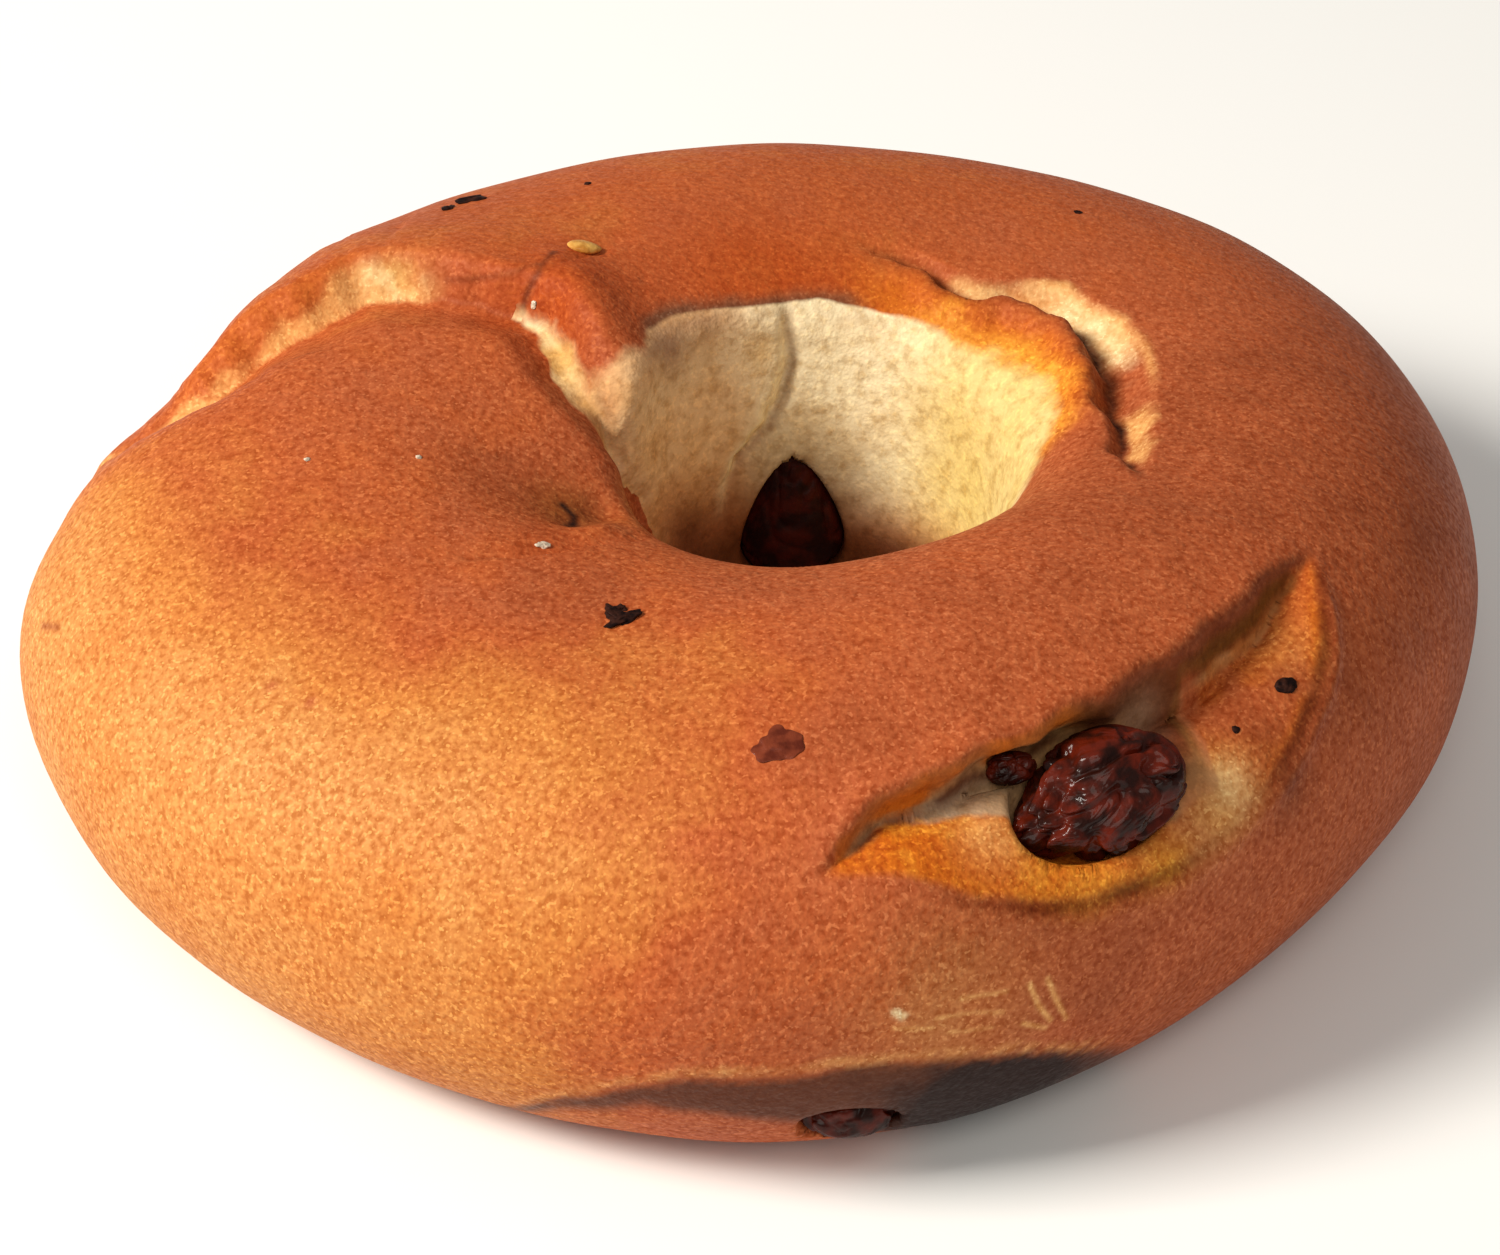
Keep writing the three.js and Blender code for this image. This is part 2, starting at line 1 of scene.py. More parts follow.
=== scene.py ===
"""A raisin bagel: baked dough ring, torn crack, open split, raisins and seed.

Lengths are millimetres in the dough's own maths and metres in the meshes. Ring angles run
round the hole from +X. Rope angles run round the rope: 0 outward, 90 up, 180 to the hole.
"""

from __future__ import annotations

import logging
import math
from collections.abc import Callable
from dataclasses import dataclass, field
from enum import Enum
from typing import ClassVar

import bpy
import numpy as np
from mathutils import Matrix, Vector

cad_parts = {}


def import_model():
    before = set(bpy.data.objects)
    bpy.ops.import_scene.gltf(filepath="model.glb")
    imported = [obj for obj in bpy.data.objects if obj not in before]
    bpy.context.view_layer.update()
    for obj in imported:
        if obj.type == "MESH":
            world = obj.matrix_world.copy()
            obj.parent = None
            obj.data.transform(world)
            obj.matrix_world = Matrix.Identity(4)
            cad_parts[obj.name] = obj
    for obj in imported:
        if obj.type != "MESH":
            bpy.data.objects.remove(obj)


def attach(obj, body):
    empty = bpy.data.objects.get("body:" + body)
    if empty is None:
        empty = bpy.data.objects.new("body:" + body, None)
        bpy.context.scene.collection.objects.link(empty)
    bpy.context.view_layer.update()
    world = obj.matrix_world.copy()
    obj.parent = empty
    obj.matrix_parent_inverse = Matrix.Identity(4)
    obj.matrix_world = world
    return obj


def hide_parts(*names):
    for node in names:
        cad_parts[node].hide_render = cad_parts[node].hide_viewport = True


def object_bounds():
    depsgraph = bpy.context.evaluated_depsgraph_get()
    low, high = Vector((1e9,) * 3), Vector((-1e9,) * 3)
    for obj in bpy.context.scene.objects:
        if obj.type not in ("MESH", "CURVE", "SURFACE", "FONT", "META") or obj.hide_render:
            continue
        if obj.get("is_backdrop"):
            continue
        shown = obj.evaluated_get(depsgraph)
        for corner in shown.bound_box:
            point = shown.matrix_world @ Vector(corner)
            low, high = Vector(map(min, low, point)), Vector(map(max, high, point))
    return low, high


LOG = logging.getLogger("bagel")
HOLE_AXIS = np.array([3.78, -0.36, -0.06])
GOLDEN_ANGLE = 2.399963
MM_PER_M = 1000
Points = np.ndarray
Colour = tuple[float, float, float]
Place = tuple[float, float, float]
Wave = tuple[float, float, float]
Socket = bpy.types.NodeSocket
Feed = float | tuple[float, ...] | Socket


# ---- small maths ----
def unit(vectors: Points) -> Points:
    """Vectors brought to length one."""
    return vectors / np.maximum(np.linalg.norm(vectors, axis=-1, keepdims=True), 1e-12)


def soft_max(first: Points, second: Points, blend: Points | float) -> Points:
    """The larger of two distances, rounded over the blend's width where they meet."""
    near = np.maximum(blend - np.abs(first - second), 0) / blend
    return np.maximum(first, second) + near * near * blend / 4


def rise(share: Points) -> Points:
    """A smooth step from 0 to 1."""
    part = np.clip(share, 0, 1)
    return part * part * (3 - 2 * part)


def bell(offset: Points) -> Points:
    """A bell curve of height one."""
    return np.exp(-offset * offset)


def slope_of(
    distance: Callable[[Points], Points], points: Points, step: float = 0.02
) -> Points:
    """The slope of a distance field.

    Args:
        distance: The field, called with points.
        points: Where the slope is wanted.
        step: Half the span of each difference.

    Returns:
        One slope vector for each point.
    """
    slope = np.empty_like(points)
    for axis in range(3):
        move = np.zeros(3)
        move[axis] = step
        slope[..., axis] = (distance(points + move) - distance(points - move)) / (2 * step)
    return slope


def swell(points: Points, wavelength: float, high: float, turn: float) -> Points:
    """Gentle unevenness made of a few waves in different directions.

    Args:
        points: Where it is wanted.
        wavelength: Shortest wave in millimetres.
        high: Size of the unevenness.
        turn: A number that sets the waves' directions.

    Returns:
        Heights in millimetres.
    """
    count = 7
    total = np.zeros(points.shape[:-1])
    for k in range(count):
        z = 1 - 2 * (k + 0.5) / count
        flat = math.sqrt(1 - z * z)
        angle = GOLDEN_ANGLE * k + turn
        way = np.array([flat * math.cos(angle), flat * math.sin(angle), z])
        long = wavelength * (1 + 0.13 * ((k * 5) % 7))
        total += np.sin(points @ way * (2 * math.pi / long) + turn * 3.1 + k * 2.1)
    return total * high / math.sqrt(count)


def wander(start: Points | float, along: Points, waves: tuple[Wave, ...]) -> Points:
    """Add waves that run along a line.

    Args:
        start: What they are added to.
        along: Places along the line in millimetres.
        waves: Height, quickness and phase of each wave.

    Returns:
        The sums.
    """
    for high, quick, phase in waves:
        start = start + high * np.sin(along * quick + phase)
    return start


def linear(code: str) -> Colour:
    """A colour code such as #a05020 as linear red, green and blue from 0 to 1."""
    parts = [int(code[i : i + 2], 16) / 255 for i in (1, 3, 5)]
    return tuple(p / 12.92 if p < 0.04045 else ((p + 0.055) / 1.055) ** 2.4 for p in parts)


# ---- the plain ring of rope ----
@dataclass(frozen=True)
class WavyLength:
    """A length that varies round the ring: (count, size, crest angle) for each wave."""

    mean: float
    waves: tuple[Wave, ...] = ()

    def at(self, angle: Points) -> Points:
        """The length at ring angles in radians.

        Args:
            angle: Ring angles.

        Returns:
            Lengths in millimetres.
        """
        value = np.full_like(angle, self.mean)
        for count, high, crest in self.waves:
            value = value + high * np.cos(count * (angle - math.radians(crest)))
        return value


@dataclass(frozen=True)
class Rope:
    """The ring of rope that the dough was rolled to, before it tore and swelled."""

    outer: WavyLength = WavyLength(
        53.7, ((1, 3.46, 155.4), (2, 3.02, 24.5), (3, 1.0, 45.1), (4, 0.5, 10.6), (5, 0.38, 50.3))
    )
    hole: WavyLength = WavyLength(7.3, ((1, 1.77, 17.0),))
    top: WavyLength = WavyLength(32.4, ((1, 0.45, 265.0), (2, 1.36, 117.4)))
    below: float = -3.0
    power: float = 2.25

    def sizes(self, angle: Points) -> tuple[Points, Points, Points, Points]:
        """Sizes of the rope's section.

        Args:
            angle: Ring angles in radians.

        Returns:
            Radius of the middle, half width, height of the middle and half height.
        """
        outer, inner, top = self.outer.at(angle), self.hole.at(angle), self.top.at(angle)
        return (
            (outer + inner) / 2,
            (outer - inner) / 2,
            (top + self.below) / 2,
            (top - self.below) / 2,
        )

    def distance(self, points: Points) -> Points:
        """Distance from the plain ring, negative inside.

        Args:
            points: Places in the dough's frame.

        Returns:
            Distances in millimetres.
        """
        angle = np.arctan2(points[..., 1], points[..., 0])
        middle, wide, height, tall = self.sizes(angle)
        across = np.abs(np.hypot(points[..., 0], points[..., 1]) - middle) / wide
        up = np.abs(points[..., 2] - height) / tall
        n = self.power
        g = (across**n + up**n) ** (1 / n) + 1e-9
        slope = np.hypot(across ** (n - 1) / wide, up ** (n - 1) / tall) * g ** (1 - n)
        return (g - 1) / np.maximum(slope, 1e-3)

    def point(self, ring: Points, rope: Points) -> Points:
        """Points on the plain ring.

        Args:
            ring: Ring angles in radians.
            rope: Rope angles in radians.

        Returns:
            Places on the surface.
        """
        middle, wide, height, tall = self.sizes(ring)
        across = np.abs(np.cos(rope) / wide) ** self.power
        up = np.abs(np.sin(rope) / tall) ** self.power
        reach = (across + up) ** (-1 / self.power)
        out = middle + reach * np.cos(rope)
        return np.stack(
            [out * np.cos(ring), out * np.sin(ring), height + reach * np.sin(rope)], -1
        )

    def spot(self, ring: float, rope: float) -> Points:
        """One point on the plain ring, from angles in degrees."""
        return self.point(np.radians(np.float64(ring)), np.radians(np.float64(rope)))

    def centre(self, ring: Points) -> Points:
        """Points on the rope's centre line."""
        middle, _, height, _ = self.sizes(ring)
        return np.stack([middle * np.cos(ring), middle * np.sin(ring), height], -1)


# ---- lines drawn on the ring ----
Station = tuple[float, ...]


@dataclass(frozen=True)
class Nearness:
    """Where points lie beside a line: along it, across it, past its ends, and its columns."""

    along: Points
    across: Points
    over: Points
    side: Points
    row: Points


@dataclass
class SurfaceLine:
    """A smooth line on the ring through stations of ring angle, rope angle and columns."""

    rope: Rope
    stations: tuple[Station, ...]
    reach: float
    hand: float = 1.0
    steps: int = 48
    side_fade: float = 4.0
    height_fade: float = 3.0

    def __post_init__(self) -> None:
        """Lay evenly spaced points along the line."""
        rows = self._smooth()
        raw = self.rope.point(np.radians(rows[:, 0]), np.radians(rows[:, 1]))
        gaps = np.linalg.norm(np.diff(raw, axis=0), axis=1)
        along = np.concatenate([[0], np.cumsum(gaps)])
        even = np.linspace(0, along[-1], self.steps + 1)
        self.length = float(along[-1])
        self.points = np.stack([np.interp(even, along, raw[:, k]) for k in range(3)], -1)
        self.columns = np.stack(
            [np.interp(even, along, rows[:, k]) for k in range(2, rows.shape[1])], -1
        )
        out = unit(slope_of(self.rope.distance, self.points, 0.03))
        self.sides = unit(np.cross(out, np.gradient(self.points, axis=0))) * self.hand
        self.middle = (self.points.min(0) + self.points.max(0)) / 2
        self.radius = np.linalg.norm(self.points - self.middle, axis=1).max() + self.reach

    def _smooth(self) -> Points:
        """Rows of the stations, joined by smooth curves.

        Returns:
            One row for each step.
        """
        rows = np.asarray(self.stations, float)
        full = np.vstack([2 * rows[0] - rows[1], rows, 2 * rows[-1] - rows[-2]])
        u = np.linspace(0, len(rows) - 1, self.steps + 1)
        at = np.minimum(u.astype(int), len(rows) - 2)
        t = (u - at)[:, None]
        a, b, c, d = full[at], full[at + 1], full[at + 2], full[at + 3]
        return 0.5 * (
            2 * b
            + (c - a) * t
            + (2 * a - 5 * b + 4 * c - d) * t * t
            + (3 * b - a - 3 * c + d) * t**3
        )

    def share(self, points: Points, height: Points) -> Points:
        """How much of the feature acts at each point.

        Args:
            points: Places in the dough's frame.
            height: Their heights over the plain dough.

        Returns:
            Shares from 0 to 1.
        """
        far = np.linalg.norm(points - self.middle, axis=-1)
        beside = rise((self.radius - far) / self.side_fade)
        return beside * rise((self.reach - np.abs(height)) / self.height_fade)

    def locate(self, points: Points) -> Nearness:
        """Find the nearest place on the line.

        Args:
            points: A list of places.

        Returns:
            Their places beside the line.
        """
        count = len(points)
        best = np.full(count, 1e9)
        along, across, over = np.zeros(count), np.zeros(count), np.zeros(count)
        side, row = np.zeros((count, 3)), np.zeros((count, self.columns.shape[1]))
        for i in range(self.steps):
            step = self.points[i + 1] - self.points[i]
            long = step @ step
            u = (points - self.points[i]) @ step / long
            on = np.clip(u, 0, 1)
            off = points - (self.points[i] + on[:, None] * step)
            near = (off * off).sum(-1)
            m = near < best
            if not m.any():
                continue
            part = on[m][:, None]
            sides = unit(self.sides[i] * (1 - part) + self.sides[i + 1] * part)
            along[m] = (i + on[m]) * self.length / self.steps
            across[m] = (off[m] * sides).sum(-1)
            over[m] = np.abs(u - on)[m] * math.sqrt(long)
            side[m] = sides
            row[m] = self.columns[i] * (1 - part) + self.columns[i + 1] * part
            best[m] = near[m]
        return Nearness(along, across, over, side, row)


# ---- features of the dough ----
@dataclass
class Feature:
    """A feature that follows a line on the ring."""

    line: SurfaceLine
    fine_reach: float = 3.0
    fine_edge: float = 0.4

    def change(self, d: Points, height: Points, near: Nearness) -> Points:
        """The distances once the feature is made, which each kind works out."""
        raise NotImplementedError

    def apply(self, d: Points, height: Points, points: Points) -> Points:
        """Make the feature in a distance field.

        Args:
            d: Distances so far.
            height: Heights over the plain dough.
            points: Places in the dough's frame.

        Returns:
            The new distances.
        """
        share = self.line.share(points, height)
        m = share > 0
        if not m.any():
            return d
        new = self.change(d[m], height[m], self.line.locate(points[m]))
        out = d.copy()
        out[m] = d[m] + (new - d[m]) * share[m]
        return out


@dataclass
class Join(Feature):
    """Where one rope end laps over another. Columns: depth, steep reach, gentle reach, lift."""

    waves: tuple[Wave, ...] = ((0.22, 0.7, 0), (0.12, 1.9, 1))
    lap_rise: float = 0.8
    lap_fade: float = 7.0
    hollow: float = 2.2
    end_fade: float = 3.0

    def offset(self, near: Nearness) -> Points:
        """Distance across the join's wandering edge, positive on the lapping end."""
        return wander(near.across, near.along, self.waves)

    def change(self, d: Points, height: Points, near: Nearness) -> Points:
        """Sink the crease and lift the lapping end.

        Args:
            d: Distances so far.
            height: Heights over the plain dough.
            near: Places beside the line.

        Returns:
            The new distances.
        """
        depth, steep, gentle, lift = near.row.T
        t = self.offset(near)
        lap = lift * rise(t / steep * self.lap_rise)
        lap = lap * bell(np.maximum(t - steep, 0) / self.lap_fade)
        over = lap - depth * (1 - np.clip(t / steep, 0, 1)) ** self.hollow
        under = -depth * (1 - rise(-t / gentle))
        return d - np.where(t >= 0, over, under) * bell(near.over / self.end_fade)


@dataclass
class Ridge(Feature):
    """A rounded ridge. Columns: height, width."""

    end_fade: float = 2.0

    def change(self, d: Points, height: Points, near: Nearness) -> Points:
        """Raise the ridge."""
        high, wide = near.row.T
        return d - high * bell(near.across / wide) * bell(near.over / self.end_fade)


@dataclass
class Crack(Feature):
    """A torn crack with a ridge beside it. Columns: depth, torn width, ridge height."""

    waves: tuple[Wave, ...] = ((0.25, 0.9, 0), (0.14, 1.9, 1))
    far_waves: float = 1.2
    least_wide: float = 0.6
    hollow: float = 1.2
    near_wide: float = 1.1
    ridge_back: float = 1.7
    ridge_wide: float = 1.6
    end_fade: float = 1.2

    def offset(self, near: Nearness) -> tuple[Points, Points]:
        """Distance across the crack and the width of its torn side.

        Args:
            near: Places beside the line.

        Returns:
            Distances and widths in millimetres.
        """
        ragged = wander(0.0, near.along, self.waves)
        wide = near.row[:, 1] + ragged * self.far_waves
        return near.across + ragged, np.maximum(wide, self.least_wide)

    def change(self, d: Points, height: Points, near: Nearness) -> Points:
        """Sink the torn side and raise the ridge.

        Args:
            d: Distances so far.
            height: Heights over the plain dough.
            near: Places beside the line.

        Returns:
            The new distances.
        """
        depth, _, ridge = near.row.T
        t, wide = self.offset(near)
        out = np.clip(t / wide, 0, 1)
        torn = -depth * (1 - out) ** self.hollow * (1 + 0.5 * out)
        floor = np.where(t >= 0, torn, -depth * (1 - rise(-t / self.near_wide)))
        raised = ridge * bell((t + self.ridge_back) / self.ridge_wide)
        return d - (floor + raised) * bell(near.over / self.end_fade)


@dataclass(frozen=True)
class SplitSection:
    """The split's section at each point: its place across, and the line's columns."""

    across: Points
    wide: Points
    valley: Points
    deep: Points
    upper: Points
    lower: Points
    full: Points
    hang: Points


@dataclass
class Split(Feature):
    """The open split. Columns: half width, valley, depth, lips, fullness, overhang."""

    waves: tuple[Wave, ...] = ((0.2, 0.75, 0.5), (0.06, 1.7, 1))
    lower_waves: float = 0.5
    taper: float = 0.8
    upper_power: float = 0.8
    upper_lip: tuple[float, float] = (0.9, 1.5)
    lower_lip: tuple[float, float] = (0.4, 1.15)
    lip_fade: float = 1.5
    edge_round: float = 0.4
    lip_lean: float = 0.6
    lip_level: float = 0.35
    back_lean: float = 0.9
    back_level: float = 0.62

    def section(self, near: Nearness) -> SplitSection:
        """The split's section beside each point.

        Args:
            near: Places beside the line.

        Returns:
            The section's sizes.
        """
        half, valley, depth, upper, lower, full, hang = near.row.T
        ragged = wander(0.0, near.along, self.waves)
        across = near.across + ragged * np.where(near.across > 0, 1, self.lower_waves)
        wide = np.maximum(half - near.over * self.taper, 0.05)
        deep = np.maximum(depth - near.over, 0.02)
        return SplitSection(across, wide, valley * wide, deep, upper, lower, full, hang)

    def change(self, d: Points, height: Points, near: Nearness) -> Points:
        """Open the split and raise its lips.

        Args:
            d: Distances so far.
            height: Heights over the plain dough.
            near: Places beside the line.

        Returns:
            The new distances.
        """
        s = self.section(near)
        low_run, high_run = s.valley + s.wide, s.wide - s.valley
        down, up = (s.valley - s.across) / low_run, (s.across - s.valley) / high_run
        low, power = s.across <= s.valley, self.upper_power
        low_floor = s.deep * np.clip(down, 0, 1.6) ** s.full
        high_floor = s.deep * np.clip(up, 0, 2) ** power
        low_slope = s.deep * s.full * np.clip(down, 0.12, 1.6) ** (s.full - 1) / low_run
        high_slope = s.deep * power * np.clip(up, 0.1, 2) ** (power - 1) / high_run
        slope = np.where(low, low_slope, high_slope)
        cut = (height - np.where(low, low_floor, high_floor) + s.deep) / np.sqrt(1 + slope * slope)
        (above, above_wide), (below, below_wide) = self.upper_lip, self.lower_lip
        lips = s.upper * bell((s.across - s.wide - above) / above_wide)
        lips = lips + s.lower * bell((s.across + s.wide + below) / below_wide)
        fade = np.clip(s.wide / 2, 0, 1) * bell(near.over / self.lip_fade)
        return soft_max(d - lips * fade, cut, self.edge_round)

    def lean(self, points: Points, height: Points) -> Points:
        """Lean the upper lip out over the hollow.

        Args:
            points: Places on the surface.
            height: Their heights over the plain dough.

        Returns:
            The moved places.
        """
        m = self.line.share(points, height) > 0
        near = self.line.locate(points[m])
        s, h = self.section(near), height[m]
        low = self.lip_level * s.deep
        lip = bell((s.across - s.wide - 0.4) / 2.2) * rise((h + low) / (low + 0.1))
        middle, half = 0.5 * (s.valley + s.wide), 0.5 * (s.wide - s.valley)
        back = bell((s.across - middle) / (half + 0.4))
        back = back * bell((h + self.back_level * s.deep) / (0.3 * s.deep + 0.1))
        move = s.hang * (self.back_lean * back - self.lip_lean * lip) * bell(near.over)
        out = points.copy()
        out[m] += near.side * move[:, None]
        return out


@dataclass(frozen=True)
class Lump:
    """A round swelling, or a dent if its height is negative."""

    ring: float
    rope: float
    radius: float
    high: float


@dataclass(frozen=True)
class HoleWall:
    """The hole's steep wall, which cuts the rope's round inner side."""

    radius: WavyLength = WavyLength(12.4, ((1, 3.1, 80.0), (2, 0.5, 20.0)))
    rim: WavyLength = WavyLength(3.0, ((1, 1.8, -40.0),))
    lean: float = 0.16
    lean_share: float = 0.985
    middle: float = 14.0

    def apply(self, d: Points, points: Points) -> Points:
        """Cut the wall.

        Args:
            d: Distances so far.
            points: Places in the dough's frame.

        Returns:
            The new distances.
        """
        angle = np.arctan2(points[..., 1], points[..., 0])
        out = np.hypot(points[..., 0], points[..., 1])
        wall = self.radius.at(angle) + self.lean * (points[..., 2] - self.middle) - out
        return soft_max(d, wall * self.lean_share, self.rim.at(angle))


# Each station is a ring angle and a rope angle in degrees, then its feature's own columns.
JOIN_STATIONS: tuple[Station, ...] = (
    (171, -40, 0.4, 6, 8, 0),
    (170.5, -10, 0.6, 6, 9, 0),
    (169.5, 10, 1.0, 6, 9, 0),
    (168.5, 24, 1.9, 5.5, 9, 0.2),
    (166.5, 36, 2.7, 3.5, 9, 0.8),
    (162.3, 44, 2.6, 2.8, 9, 1.2),
    (159, 50.5, 2.4, 2.5, 9, 1.4),
    (155.6, 56.3, 2.2, 2.4, 8.5, 1.4),
    (152.5, 60.5, 2.0, 2.3, 8, 1.4),
    (149.8, 66, 2.0, 2.3, 8, 1.4),
    (148.2, 74.5, 2.0, 2.3, 7, 1.4),
    (147.5, 82.3, 2.0, 2.3, 7, 1.3),
    (146.8, 90.6, 2.0, 2.3, 6, 1.2),
    (145.5, 98, 2.1, 2.3, 5.5, 1.1),
    (145, 106, 2.2, 2.3, 5, 1.0),
    (148.5, 115.5, 2.3, 2.3, 5, 0.8),
    (152, 123.5, 2.3, 2.3, 5, 0.6),
    (157.5, 131.5, 2.1, 2.3, 4.5, 0.4),
    (162, 139.5, 1.8, 2.2, 4.5, 0.3),
    (158, 150, 1.2, 2, 4, 0.1),
    (151, 165, 0.8, 2, 4, 0.1),
    (145, 182, 0.3, 2, 4, 0),
)
CREASE_STATIONS: tuple[Station, ...] = (
    (95.7, 126, 0.1, 1, 1.2, 0.1),
    (94.7, 133, 0.5, 1, 1.4, 0.3),
    (92.8, 140.5, 0.8, 1, 1.5, 0.4),
    (94.3, 147, 0.7, 1, 1.5, 0.5),
    (97.8, 154, 0.7, 1, 1.6, 0.6),
    (101.5, 161.4, 0.7, 1, 1.8, 0.6),
    (104.6, 170, 0.6, 1.1, 2, 0.5),
    (108.5, 177, 0.2, 1.2, 2, 0.1),
)
CRACK_STATIONS: tuple[Station, ...] = (
    (78, 107, 0.2, 1, 0.1),
    (70, 110, 0.8, 1.4, 0.4),
    (62, 115, 1.4, 1.8, 0.8),
    (56, 116, 1.8, 2, 1.0),
    (50, 112.5, 1.9, 2.4, 1.1),
    (43.5, 109.8, 2.0, 3, 1.1),
    (35, 110.5, 2.0, 3.7, 1.2),
    (28.5, 111.5, 2.1, 3.8, 1.2),
    (20.5, 114.8, 2.1, 4.1, 1.2),
    (9.6, 115.2, 1.9, 3.4, 1.0),
    (-1, 113.2, 1.8, 3, 0.8),
    (-7, 110, 1.4, 2.3, 0.5),
    (-14, 104, 0.3, 1, 0.1),
)
SPLIT_STATIONS: tuple[Station, ...] = (
    (-90, 35.5, 0.3, 0.2, 0.1, 0, 0, 0.6, 0),
    (-85, 40, 2.3, 0.35, 1.9, 0.4, 0.3, 0.5, 0.3),
    (-80, 41.5, 3.8, 0.4, 3.1, 0.6, 0.5, 0.45, 0.6),
    (-75, 40.5, 5.1, 0.42, 4.1, 0.7, 0.8, 0.42, 0.9),
    (-69, 39.2, 6.0, 0.45, 4.8, 0.7, 1.2, 0.42, 1.1),
    (-62, 39, 6.5, 0.4, 4.9, 0.7, 1.5, 0.42, 1.0),
    (-54.5, 40.2, 6.3, 0.3, 4.5, 0.7, 1.8, 0.45, 0.7),
    (-46, 43.5, 5.4, 0.22, 3.9, 0.6, 1.9, 0.5, 0.4),
    (-38, 48, 4.2, 0.2, 3.2, 0.5, 1.9, 0.55, 0.3),
    (-31, 53, 2.7, 0.12, 2.3, 0.4, 1.5, 0.6, 0.2),
    (-26, 56, 1.3, 0.1, 1.1, 0.2, 0.4, 0.7, 0.1),
    (-22, 57.5, 0.3, 0.2, 0.2, 0, 0, 0.7, 0),
)
CURL_STATIONS: tuple[Station, ...] = (
    (131, 94, 0.1, 2.5),
    (135, 101, 0.8, 3),
    (139, 111, 1.4, 3.2),
    (143, 121, 1.6, 3.2),
    (147, 131, 1.3, 3.2),
    (148, 142, 0.4, 3.2),
)
ROLL_STATIONS: tuple[Station, ...] = (
    (147.5, 75, 0.05, 1.2),
    (146, 81, 0.5, 1.2),
    (144.5, 88, 0.65, 1.3),
    (142.6, 95, 0.5, 1.3),
    (141, 101, 0.05, 1.2),
)
PIT_STATIONS: tuple[Station, ...] = (
    (-149, 92, 0.05, 1.0, 1.5, 0),
    (-146.5, 100, 0.3, 1.0, 2.0, 0.2),
    (-143.7, 112, 0.5, 1.0, 2.5, 0.35),
    (-142, 122, 0.45, 1.0, 2.5, 0.3),
    (-142, 132, 0.25, 1.0, 2.0, 0.2),
    (-143, 141, 0.05, 1.0, 1.5, 0),
)
LUMPS: tuple[Lump, ...] = (
    Lump(-160.5, 137.5, 1.4, -1.8),
    Lump(-156, 131, 1.4, -1.4),
    Lump(-162, 129, 4.2, -1.0),
    Lump(-172, 117, 4.0, -0.5),
    Lump(-150, 131, 2.0, 0.5),
    Lump(176, 80, 12, 0.5),
    Lump(120, 52, 14, -0.7),
    Lump(143, 38, 5, 0.4),
    Lump(150, 28, 5, -0.3),
    Lump(161, 24, 7, -2.6),
    Lump(177, 14, 5, -0.6),
    Lump(-172, 6, 7, 0.5),
    Lump(169, 14, 2.8, 0.9),
)


# ---- raisins ----
@dataclass(frozen=True)
class RaisinShape:
    """A raisin's place, half sizes, turns in degrees, wrinkles, and the way its seat opens."""

    node: str
    at: Place
    half: Place
    turn: Place
    phase: float
    opens: Place
    fold: float = 0.14
    narrow: float = 0.0
    dents: tuple[tuple[float, float, float, float, float], ...] = ()

    def frame(self) -> Points:
        """The raisin's axes as columns.

        Returns:
            A 3 by 3 turning matrix.
        """
        x, y, z = (math.radians(t) for t in self.turn)
        turn = Matrix.Rotation(z, 3, "Z") @ Matrix.Rotation(y, 3, "Y") @ Matrix.Rotation(x, 3, "X")
        return np.array(turn)

    def sizes(self, up: Points) -> Points:
        """Half sizes at heights from -1, the foot, to 1, which is the narrow end."""
        thin = 1 - self.narrow * rise(up * 0.5 + 0.5)
        return np.array(self.half) * np.concatenate([thin, thin, np.ones_like(thin)], -1)

    def distance(self, points: Points) -> Points:
        """Rough distance from the raisin's plain oval.

        Args:
            points: Places in the dough's frame.

        Returns:
            Distances in millimetres.
        """
        local = (points - np.array(self.at)) @ self.frame()
        size = self.sizes(local[..., 2:3] / self.half[2])
        first = np.linalg.norm(local / size, axis=-1)
        second = np.linalg.norm(local / size**2, axis=-1)
        return first * (first - 1) / np.maximum(second, 1e-3)

    def seat(self, points: Points) -> Points:
        """Distance from the raisin's seat, which is open on the outer side.

        Args:
            points: Places in the dough's frame.

        Returns:
            Distances in millimetres.
        """
        way = unit(np.array(self.opens))
        out = np.maximum((points - np.array(self.at)) @ way, 0)
        return self.distance(points - out[..., None] * way)


